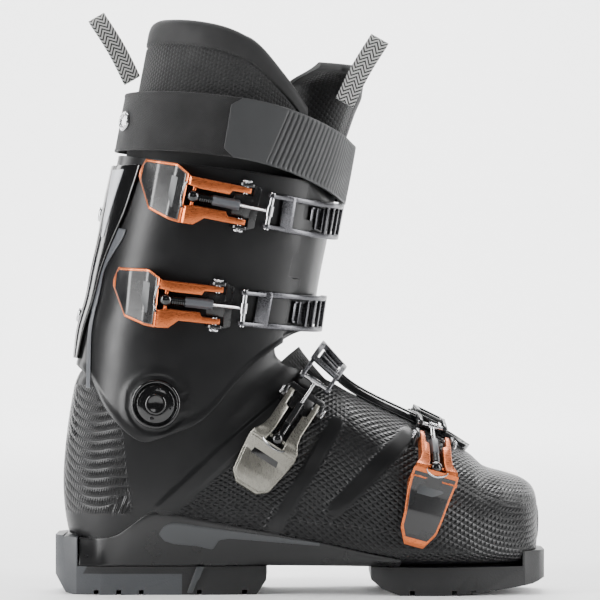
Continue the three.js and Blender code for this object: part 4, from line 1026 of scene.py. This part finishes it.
def spot_under(surface, local, u, v, seat, guess):
    """Station and angle of the surface place at (u, v) in a frame's own plane."""
    key, angle = guess

    def read(k, a):
        place = surface(k, a, seat(a)) - local.origin
        return place @ local.axes[0], place @ local.axes[1]

    for _ in range(28):
        here = read(key, angle)
        dk = [(m - h) / 0.02 for m, h in zip(read(key + 0.02, angle), here)]
        da = [(m - h) / 0.5 for m, h in zip(read(key, angle + 0.5), here)]
        det = dk[0] * da[1] - da[0] * dk[1]
        eu, ev = u - here[0], v - here[1]
        key = key + 0.4 * (eu * da[1] - ev * da[0]) / det
        angle = angle + 0.4 * (dk[0] * ev - dk[1] * eu) / det
    return float(key), float(angle)


def buckle_frame(surface, x, z, tilt, guess, seat):
    flat = Local((0, 0, 0), (1, 0, 0), (0, 0, 1), (0, 1, 0))
    key, angle = spot_under(surface, flat, x, z, seat, guess)
    origin = surface(key, angle, seat(angle))
    ez = surface(key, angle, seat(angle) + 1) - origin
    ez /= np.linalg.norm(ez)
    ex = np.array([math.cos(math.radians(tilt)), 0, math.sin(math.radians(tilt))])
    ex -= ez * (ex @ ez)
    ex /= np.linalg.norm(ex)
    return Local(origin, ex, np.cross(ez, ex), ez), key, angle


def station_at(surface, local, v, angle, lift, guess):
    """Stations at which the surface crosses the planes v, at given angles."""
    key = np.full(np.shape(v), float(guess))

    def read(k):
        return (surface(k, angle, lift) - local.origin) @ local.axes[1]

    for _ in range(12):
        here = read(key)
        key = key + 0.7 * (v - here) / ((read(key + 0.02) - here) / 0.02)
    return key


def buckle(name, spec):
    surface, seat, k = spec["surface"], spec["seat"], spec["scale"]
    local, key0, angle0 = buckle_frame(surface, spec["x"], spec["z"], spec["tilt"], spec["guess"], seat)
    home = "cuff" if "cuff" in name else "shell"
    short = name.replace("_buckle", "")
    arm_out, arm_in, pin = ARM_OUT * k, ARM_IN * k, PIN_HEIGHT

    def sunk(u):
        key, angle = spot_under(surface, local, u, 0, seat, (key0, angle0))
        return float((surface(key, angle, seat(angle)) - local.origin) @ local.axes[2])

    tip, ball, bar = -LEVER_LENGTH * k, -BALL_AT * k, BAR_AT * k
    ball_height = max(sunk(ball) + LEVER_CLEAR + 2.4, 5)
    bar_height = max(sunk(bar) + LEVER_CLEAR + 2.4, 4.8)

    def make(part, parts, material, body, slot, **options):
        return put(f"{name}_{part}", parts, material, body, local, slot, **options)

    # Base: a plate with an ear outside each arm, and knurled pins.
    ear_in = arm_out + 0.35
    ear_out = ear_in + 2.2
    ears = []
    for side in (-1, 1):
        outline = [(-5.5, 0.9), (6.0, 0.9), (4.6, pin + 2.0), (3.2, pin + 2.8), (-2.2, pin + 2.8),
                   (-3.8, pin + 1.6)]
        p, f = prism(outline, *sorted((side * ear_in, side * ear_out)))
        ears.append((p[:, [0, 2, 1]], f))
    middle = arm_in - 0.6
    plates = [prism([(5.3, -ear_out), (10 * k, -ear_out + 2), (10 * k, ear_out - 2), (5.3, ear_out)], 0.7,
                    2.4),
              prism([(-6, -middle), (5.6, -middle), (5.6, middle), (-6, middle)], 0.7, 2.0)]
    base = make("plate", ears + plates, "black_metal", home, "gloss_plastic", bevel=0.35)
    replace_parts(base, f"{name}_base")
    for letter, side in (("a", 1), ("b", -1)):
        stem = lathe((0, side * arm_in, pin), (0, side, 0), [(0, 1.5), (ear_out - arm_in + 0.4, 1.5)], 20)
        knurl = lathe((0, side * (ear_out + 0.3), pin), (0, side, 0),
                      [(0, 2.6), (0.3, 2.9), (1.2, 2.9), (1.5, 2.5)], 60, 20, 0.16)
        dimple = lathe((0, side * (ear_out + 1.6), pin), (0, side, 0),
                       [(0, 1.6), (0.25, 1.3), (0.05, 0.6)], 20)
        rivet = make(f"rivet_{letter}", [stem, knurl, dimple], "steel", home, "steel")
        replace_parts(rivet, f"{name}_pin_{letter}")

    # Lever: stepped arms running back into a dished plate with a cover.
    lift = spec["tip_lift"]
    shares = np.array([0, 0.15, 0.3, 0.5, 0.7, 0.85, 1.0])
    under_h = np.array([LEVER_CLEAR] + [sunk(tip * s) + LEVER_CLEAR + lift * s for s in shares[1:]])
    over_u = np.array([-3.6, 18 * k, -ball + 4.6 * k, -tip * 0.68, -tip * 0.85, -tip - 0.5])
    over_h = np.array([pin + 2.6, max(pin, ball_height) + 2.4, ball_height + 2.2,
                       np.interp(0.68, shares, under_h) + 3.4,
                       np.interp(0.85, shares, under_h) + 3.2, under_h[-1] + 2.8])

    def under(u):
        return float(np.interp(-u / -tip, shares, under_h))

    def over(u):
        return float(np.interp(-u, over_u, over_h))

    def edge(u, side):
        table = spec["upper"] if side > 0 else spec["lower"]
        return k * float(np.interp(u / k, [row[0] for row in table], [row[1] for row in table]))

    def plate_rings(u0, u1, steps, inset, low, high, corner=0.9):
        rings = []
        for u in np.linspace(u0, u1, steps):
            v0, v1 = edge(u, -1) + inset, edge(u, 1) - inset
            ring = rounded(min(v0, v1 - 0.3), v1, low(u), high(u), corner)
            rings.append([(u, v, h) for v, h in ring])
        return rings

    metal = spec["metal"]
    back = ball - 5.2 * k
    body_parts = [loft(plate_rings(tip, back, 26, 0, under, over))]
    for side in (-1, 1):
        rings = []
        broad = ARM_BROAD * k
        for u, inner, outer in ((back - 3, broad + 1, 0), (back + 2, broad + 1, 0), (ball + 3, broad, 0),
                                (ball + 9 * k, broad, 0),
                                (-9.6 * k, broad, 0), (-8.2 * k, arm_in + 0.3 * k, 0),
                                (-1, arm_in + 0.5 * k, 0), (3.2, arm_in + 0.5 * k, 0.3)):
            v0, v1 = sorted((side * inner, side * max(arm_out, abs(edge(u, side)) - 0.2) - side * outer))
            top = over(u) - (0.8 if u > 2 else 0)
            rings.append([(u, v, h) for v, h in rounded(v0, v1, max(under(u), LEVER_CLEAR - 1.5), top,
                                                        0.7)])
        body_parts.append(loft(rings))
    cross = lathe((ball, -arm_in - 0.5, ball_height), (0, 1, 0), [(0, 1.2), (2 * arm_in + 1, 1.2)], 16)
    lever = make("handle", body_parts + [cross], metal, f"{short}_lever",
                 "copper_metal" if metal == "copper" else "titanium_metal",
                 bevel=0.3, angle=40)
    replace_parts(lever, f"{name}_lever")
    cover = "black_metal" if metal == "copper" else metal

    def cover_low(u):
        return over(u) - 0.5

    def cover_high(u):
        return over(u) + 0.75

    shell_rings = plate_rings(tip + 1.5, back - 1.5, 22, 1.5 * k, cover_low, cover_high, 0.6)
    make("cover", [loft(shell_rings)], cover, f"{short}_lever", "gloss_plastic", bevel=0.25, angle=40)
    # Dark recess behind the ball, with a bright bracket round it.
    top = cover_high(back - 8 * k) + 0.05
    slope = (cover_high(back - 2) - cover_high(back - 14 * k)) / (14 * k - 2)
    recess = [(back - 3 * k, 9 * k), (back - 13 * k, 11 * k), (back - 13 * k, -11 * k),
              (back - 3 * k, -7 * k)]
    if metal == "copper":
        recess = [(back - 2, 8.6 * k), (back - 14 * k, 10.5 * k), (back - 6.5 * k, -9.6 * k),
                  (back - 3.5, -9.0 * k)]
    p, f = prism(recess, 0, 0.35)
    p[:, 2] += top + (p[:, 0] - (back - 8 * k)) * slope
    make("recess", [(p, f)], "trim_dark" if metal == "copper" else "gloss", f"{short}_lever",
         "trim_plastic", bevel=0.12)
    bow = [(back - 2.2 * abs(math.cos(t)) + 0.4, 8.6 * k * math.sin(t)) for t in np.linspace(-1.3, 1.3, 15)]
    rings = [[(u + du, v, over(u) + 0.2 + dh) for du, dh in ((-0.6, 0), (0.6, 0), (0.6, 1.3),
                                                             (-0.6, 1.3))] for u, v in bow]
    make("bracket", [loft(rings)], "steel", f"{short}_lever", "steel", bevel=0.2)

    # Rod: ball, ribbed sleeve, flat barrel, wire and cross bar.
    start, end = np.array([ball, 0, ball_height]), np.array([bar, 0, bar_height])
    run = end - start
    length = np.linalg.norm(run)
    rod_body = f"{short}_rod"
    turned = [(-4.0, 0.8), (-3.5, 2.2), (-2.2, 3.5), (0, 4.0), (2.2, 3.5), (3.4, 2.4)]
    for i in range(6):
        d = 3.6 + 1.35 * i
        turned += [(d, 2.6), (d + 0.35, 3.1), (d + 0.9, 3.1), (d + 1.2, 2.6)]
    sleeve_end = turned[-1][0]
    make("ball_end", [lathe(start, run, turned, 32)], "gloss", rod_body, "gloss_plastic")
    barrel_end = sleeve_end + 17.5 * k
    barrel = lathe(start, run, [(sleeve_end, 2.6), (sleeve_end + 0.5, 3.3), (barrel_end - 0.5, 3.3),
                                (barrel_end, 2.6)], 6)
    make("barrel", [barrel], "trim" if metal == "copper" else "black_metal", rod_body, "trim_plastic",
         bevel=0.3, angle=20)
    thread = [(barrel_end - 1, 1.2)]
    for i in range(int((length - barrel_end - 1.5) / 0.9)):
        d = barrel_end + 0.9 * i
        thread += [(d, 1.15), (d + 0.45, 1.4)]
    thread.append((length, 1.2))
    bar_half = 11.8 * k
    crossbar = lathe((bar, -bar_half, bar_height), (0, 1, 0),
                     [(0, 1.0), (0.3, 1.5), (2 * bar_half - 0.3, 1.5), (2 * bar_half, 1.0)], 20)
    sleeve = lathe((bar, -3.4 * k, bar_height), (0, 1, 0),
                   [(0, 1.6), (0.3, 2.3), (6.8 * k - 0.3, 2.3), (6.8 * k, 1.6)], 20)
    rod = make("wire", [lathe(start, run, thread, 16), crossbar, sleeve], "steel", rod_body, "steel")
    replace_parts(rod, f"{name}_rod")

    # Bail: two bands over the shell, a bar across each end, lugs on the rod's cross bar.
    bar_key, bar_angle = spot_under(surface, local, bar + 7 * k, 0, seat, (key0, angle0))
    band_out, band_in = 11.4 * k, 7.9 * k
    hook, bail_under = spec["hook_angle"], spec["bail_under"]
    bail_top = bail_under + 2
    hook_under = spec["ladder_seat"] + spec["tooth_top"] - 0.9 - float(seat(hook))
    bail_body = f"{short}_bail"

    def curved(v0, v1, a0, a1, low, high, steps):
        """A plate over the surface as (points, faces), with rounded long edges."""
        ring = []
        for a in np.linspace(a0, a1, steps):
            section = rounded(v0, v1, low, high, 0.75)
            v = np.array([s[0] for s in section])
            h = np.array([s[1] for s in section]) + float(seat(a))
            key = station_at(surface, local, v, a, h, bar_key)
            ring.append(surface(key, a, h))
        points, faces = loft(ring)
        return (points - local.origin) @ local.axes.T, faces

    grid = (bar_angle - hook) / 6
    bail_parts = [curved(band_in, band_out, bar_angle, hook, bail_under, bail_top, 24),
                  curved(-band_out, -band_in, bar_angle, hook, bail_under, bail_top, 24),
                  curved(-band_out, band_out, bar_angle, bar_angle - grid * 0.8, bail_under, bail_top, 5),
                  curved(-band_out, band_out, hook + 3, hook, hook_under, bail_top, 4)]
    for share in spec["bars"]:
        a = lerp(bar_angle, hook, share)
        bail_parts.append(curved(-band_in - 0.5, band_in + 0.5, a, a - 1.6, bail_under + 0.3,
                                 bail_top + 0.5, 3))
    join_angle = bar_angle - grid / 2
    join_height = float(seat(bar_angle)) + bail_under + 1
    join_key = float(station_at(surface, local, np.array(0.0), join_angle, join_height, bar_key))
    join_at = surface(join_key, join_angle, float(seat(join_angle)) + bail_under + 1)
    join_at = (join_at - local.origin) @ local.axes.T
    direction = np.array([join_at[0] - bar, join_at[2] - bar_height])
    direction /= np.linalg.norm(direction)
    reach = float(np.linalg.norm([join_at[0] - bar, join_at[2] - bar_height]))
    lug = [(-2.9, -1.4), (-1.2, -2.9), (1.2, -2.7), (reach, -1.0), (reach + 1, 0), (reach, 1.0),
           (1.2, 2.7), (-1.2, 2.9), (-2.9, 1.4)]
    for side in (-1, 1):
        v0, v1 = sorted((side * (band_in + 0.3), side * (band_out - 0.7)))
        p, f = prism([(bar + direction[0] * a - direction[1] * b,
                       bar_height + direction[1] * a + direction[0] * b)
                      for a, b in lug], v0, v1)
        bail_parts.append((p[:, [0, 2, 1]], f))
    bail = make("bail_frame", bail_parts, spec["bail_metal"], bail_body, "gunmetal", bevel=0.25)
    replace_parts(bail, f"{name}_bail")

    # Ladder with sloping teeth on the other flap.
    ladder_half = 6.9 * k
    first, last = spec["ladder"]

    def ladder_face(v0, v1, a0, a1, low, high, steps):
        ring = []
        for a in np.linspace(a0, a1, steps):
            section = rounded(v0, v1, low, high if not callable(high) else high(a), 0.5)
            v = np.array([s[0] for s in section])
            h = np.array([s[1] for s in section]) + spec["ladder_seat"]
            ring.append(surface(station_at(surface, local, v, a, h, bar_key), a, h))
        points, faces = loft(ring)
        return (points - local.origin) @ local.axes.T, faces

    rungs = [ladder_face(-ladder_half, ladder_half, first, last, 0.35, 2.0, 30)]
    for tooth in spec["teeth"]:
        rungs.append(ladder_face(-ladder_half, ladder_half, tooth + 1.1, tooth - 1.1, 1.4,
                                 spec["tooth_top"], 3))
    for side in (-1, 1):
        v0, v1 = sorted((side * ladder_half, side * (ladder_half - 1.5)))
        rungs.append(ladder_face(v0, v1, first, last, 1.0, 2.8, 20))
    ladder = make("ladder_strip", rungs, spec["ladder_metal"], home, "gunmetal", bevel=0.2)
    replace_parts(ladder, f"{name}_ladder")


def flap_outside(angle):
    return cuff_inside(np.maximum(angle, 0)) + CUFF_WALL


def on_the_shell(angle):
    return np.zeros(np.shape(angle))


CUFF_BUCKLE = dict(surface=on_shaft, seat=flap_outside, scale=1.0, metal="copper", bail_metal="gunmetal",
                   ladder_metal="gunmetal",
                   tip_lift=0, bail_under=1.4, ladder_seat=CUFF_WALL, ladder=(39, -22), tooth_top=4,
                   hook_angle=7,
                   teeth=(35, 29, 23, 17, 0, -7, -14), bars=(0.55, 0.66, 0.77), upper=LEVER_UPPER,
                   lower=LEVER_LOWER)
FOOT_BUCKLE = dict(surface=on_shell, seat=on_the_shell, bail_metal="gunmetal", tip_lift=0, bail_under=8,
                   ladder_seat=3.35,
                   tooth_top=4.2, hook_angle=4, bars=(), upper=FOOT_UPPER, lower=FOOT_LOWER)
buckle("upper_cuff_buckle", dict(CUFF_BUCKLE, x=-35.6, z=241, tilt=-11.6, guess=(241, 80)))
buckle("lower_cuff_buckle", dict(CUFF_BUCKLE, x=-51.6, z=180, tilt=-6.5, guess=(180, 80)))
buckle("instep_buckle", dict(FOOT_BUCKLE, x=0.4, z=118, tilt=57, guess=(9, 60), scale=0.96,
                             metal="titanium", ladder=(21, -22),
                             teeth=(16, 11, -3, -9, -15), ladder_metal="gunmetal"))
buckle("toe_buckle", dict(FOOT_BUCKLE, x=81, z=92, tilt=74, guess=(5.2, 50), scale=0.85, metal="copper",
                          tip_lift=2.5,
                          ladder=(17, -22), teeth=(13, 9, -3, -9, -15), bail_metal="black_metal",
                          ladder_metal="black_metal"))

# ---- Sole ----------------------------------------------------------------------------------
def sole_finish():
    """Black sole compound, with a grey heel end and a grey tread band under the heel."""
    n = finish("sole", 0x0D0D0E, 0.5, vary=0.25, spread=0.12, grain=900, grain_depth=0.14)
    split = n.add("SeparateXYZ", None, i0=n.place())
    x, z = split.outputs[0], split.outputs[2]
    slant = n.math("ADD", x, n.math("MULTIPLY", z, -0.55))
    heel = n.remap(slant, -0.1425, -0.1415, 1, 0)
    band = n.math("MULTIPLY", n.remap(z, 0.0128, 0.0133, 1, 0), n.remap(x, -0.0735, -0.073, 1, 0))
    grey = n.math("MAXIMUM", heel, band)
    link = n.shader.inputs["Base Color"].links[0].from_socket
    n.put(n.shader.inputs["Base Color"], n.blend(grey, link, rgb(0x37393C)))


sole_finish()


def rounded_copy(node, name, material, body, slot, bevel, segments=3):
    """The CAD node's own shape with its flat faces merged and its edges rounded."""
    work = bmesh.new()
    work.from_mesh(frame["nodes"][node].data)
    bmesh.ops.remove_doubles(work, verts=work.verts, dist=1e-6)
    bmesh.ops.dissolve_limit(work, angle_limit=math.radians(2), verts=work.verts, edges=work.edges)
    points = [[c / MM for c in v.co] for v in work.verts]
    faces = [[v.index for v in f.verts] for f in work.faces]
    work.free()
    points = np.array(points) - [0, MIDDLE_Y, 0]
    obj = build(name, points, faces, material, body, slot=slot, bevel=bevel, segments=segments, angle=25)
    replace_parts(obj, node)
    return obj


rounded_copy("heel_sole_pad", "heel_tread", "sole", "shell", "sole_rubber", 0.9)
rounded_copy("toe_sole_pad", "toe_tread", "sole", "shell", "sole_rubber", 0.9)
for end, spots in (("heel", ((-84, 0), (-46, 0))), ("toe", ((84, 20), (84, -20)))):
    for i, (x, y) in enumerate(spots):
        profile = [(0, 1.6), (1.6, 1.8), (0.4, 3.2), (0, 3.8), (0.6, 4.2), (3, 4.2), (3.1, 2.2),
                   (15.5, 2.1)]
        bolt = put(f"{end}_bolt_{i + 1}", [lathe((x, y, 6), (0, 0, 1), profile, 24)], "steel", "shell",
                   slot="steel")
        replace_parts(bolt, f"{end}_sole_screw_{i + 1}")


def shell_spot(x, z, side, offset):
    """Places on the shell's side wall at given x and z, moved out by an offset."""
    key, angle = np.full(np.shape(x), 9.0), np.full(np.shape(x), 110.0)
    for _ in range(24):
        here = on_shell(key, angle, offset)
        dk = (on_shell(key + 0.05, angle, offset) - here) / 0.05
        da = (on_shell(key, angle + 0.5, offset) - here) / 0.5
        ex, ez = x - here[..., 0], z - here[..., 2]
        det = dk[..., 0] * da[..., 2] - da[..., 0] * dk[..., 2]
        key = np.clip(key + 0.5 * (ex * da[..., 2] - ez * da[..., 0]) / det, 0.2, 16.8)
        angle = np.clip(angle + 0.5 * (dk[..., 0] * ez - dk[..., 2] * ex) / det, 3, 177)
    return on_shell(key, angle if side < 0 else 360 - angle, offset)


PAD_HALF = [(-139, 31), (-123, 34.5), (-50, 33.5), (-21, 30.8), (10, 33), (44, 38), (60, 42), (70, 42.5)]
FRAME_ENDS = (-137.4, 62)


def frame_half(x, z, side):
    """Half width of the sole frame's side wall, from the pad's edge up to the shell."""
    x, z = np.broadcast_arrays(np.asarray(x, float), np.asarray(z, float))
    top = sole_frame_top(x)
    foot = np.interp(x, [row[0] for row in PAD_HALF], [row[1] for row in PAD_HALF])
    head = np.maximum(np.abs(shell_spot(x, top, side, 0.0)[..., 1]), foot - 3)
    t = np.clip((z - SOLE_SEAT) / (top - SOLE_SEAT), 0, 1)
    return lerp(foot + 0.2, head + 0.5, np.sin(t * math.pi / 2) ** 0.9)


def frame_place(side):
    def place(u, v, offset):
        x = lerp(*FRAME_ENDS, v)
        z = lerp(SOLE_SEAT + 0.1, sole_frame_top(x), u)
        return np.stack([x, side * (frame_half(x, z, side) + offset), z], -1)
    return place


def frame_inside(u, v):
    return -3.0 - 9 * (1 - smooth(v, 0.03, 0.12))


for side, tag in ((-1, "lateral"), (1, "medial")):
    wall = slab(f"sole_frame_{tag}", frame_place(side), 14, 120, frame_inside, 0.0, "frame", "shell",
                slot="gloss_plastic", bevel=0.5, segments=3)

INLAY_TOP = [[-87, 39], [-84, 43], [-78, 45.2], [-60, 42.8], [-40, 40], [12, 33.2]]
INLAY_BOTTOM = [[-87, 38], [-84, 34], [-78, 32], [-64, 30.8], [-54, 28.5], [-50, 34.6], [-44, 35.6],
                [12, 31.4]]


def inlay_place(side):
    def place(u, v, offset):
        x = lerp(-87, 12, v)
        top = track(INLAY_TOP, x)[0]
        low = np.interp(x, [row[0] for row in INLAY_BOTTOM], [row[1] for row in INLAY_BOTTOM])
        z = lerp(low, top, u)
        return np.stack([x, side * (frame_half(x, z, side) + offset), z], -1)
    return place


for side, tag in ((-1, "lateral"), (1, "medial")):
    inlay = slab(f"sole_swoosh_{tag}", inlay_place(side), 8, 90, -0.5, 0.5, "trim_dark", "shell",
                 slot="trim_plastic", bevel=0.25)
    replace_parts(inlay, f"sole_inlay_{tag}")
    p, f = prism([(-64, 17.6), (-59.5, 17.6), (-62, 11), (-64, 8), (-66.5, 1.5), (-70, 1.5), (-67, 10)],
                 *sorted((side * 34.3, side * 35.0)))
    put(f"sole_flash_{tag}", [(p[:, [0, 2, 1]], f)], "trim_dark", "shell", slot="trim_plastic", bevel=0.2)
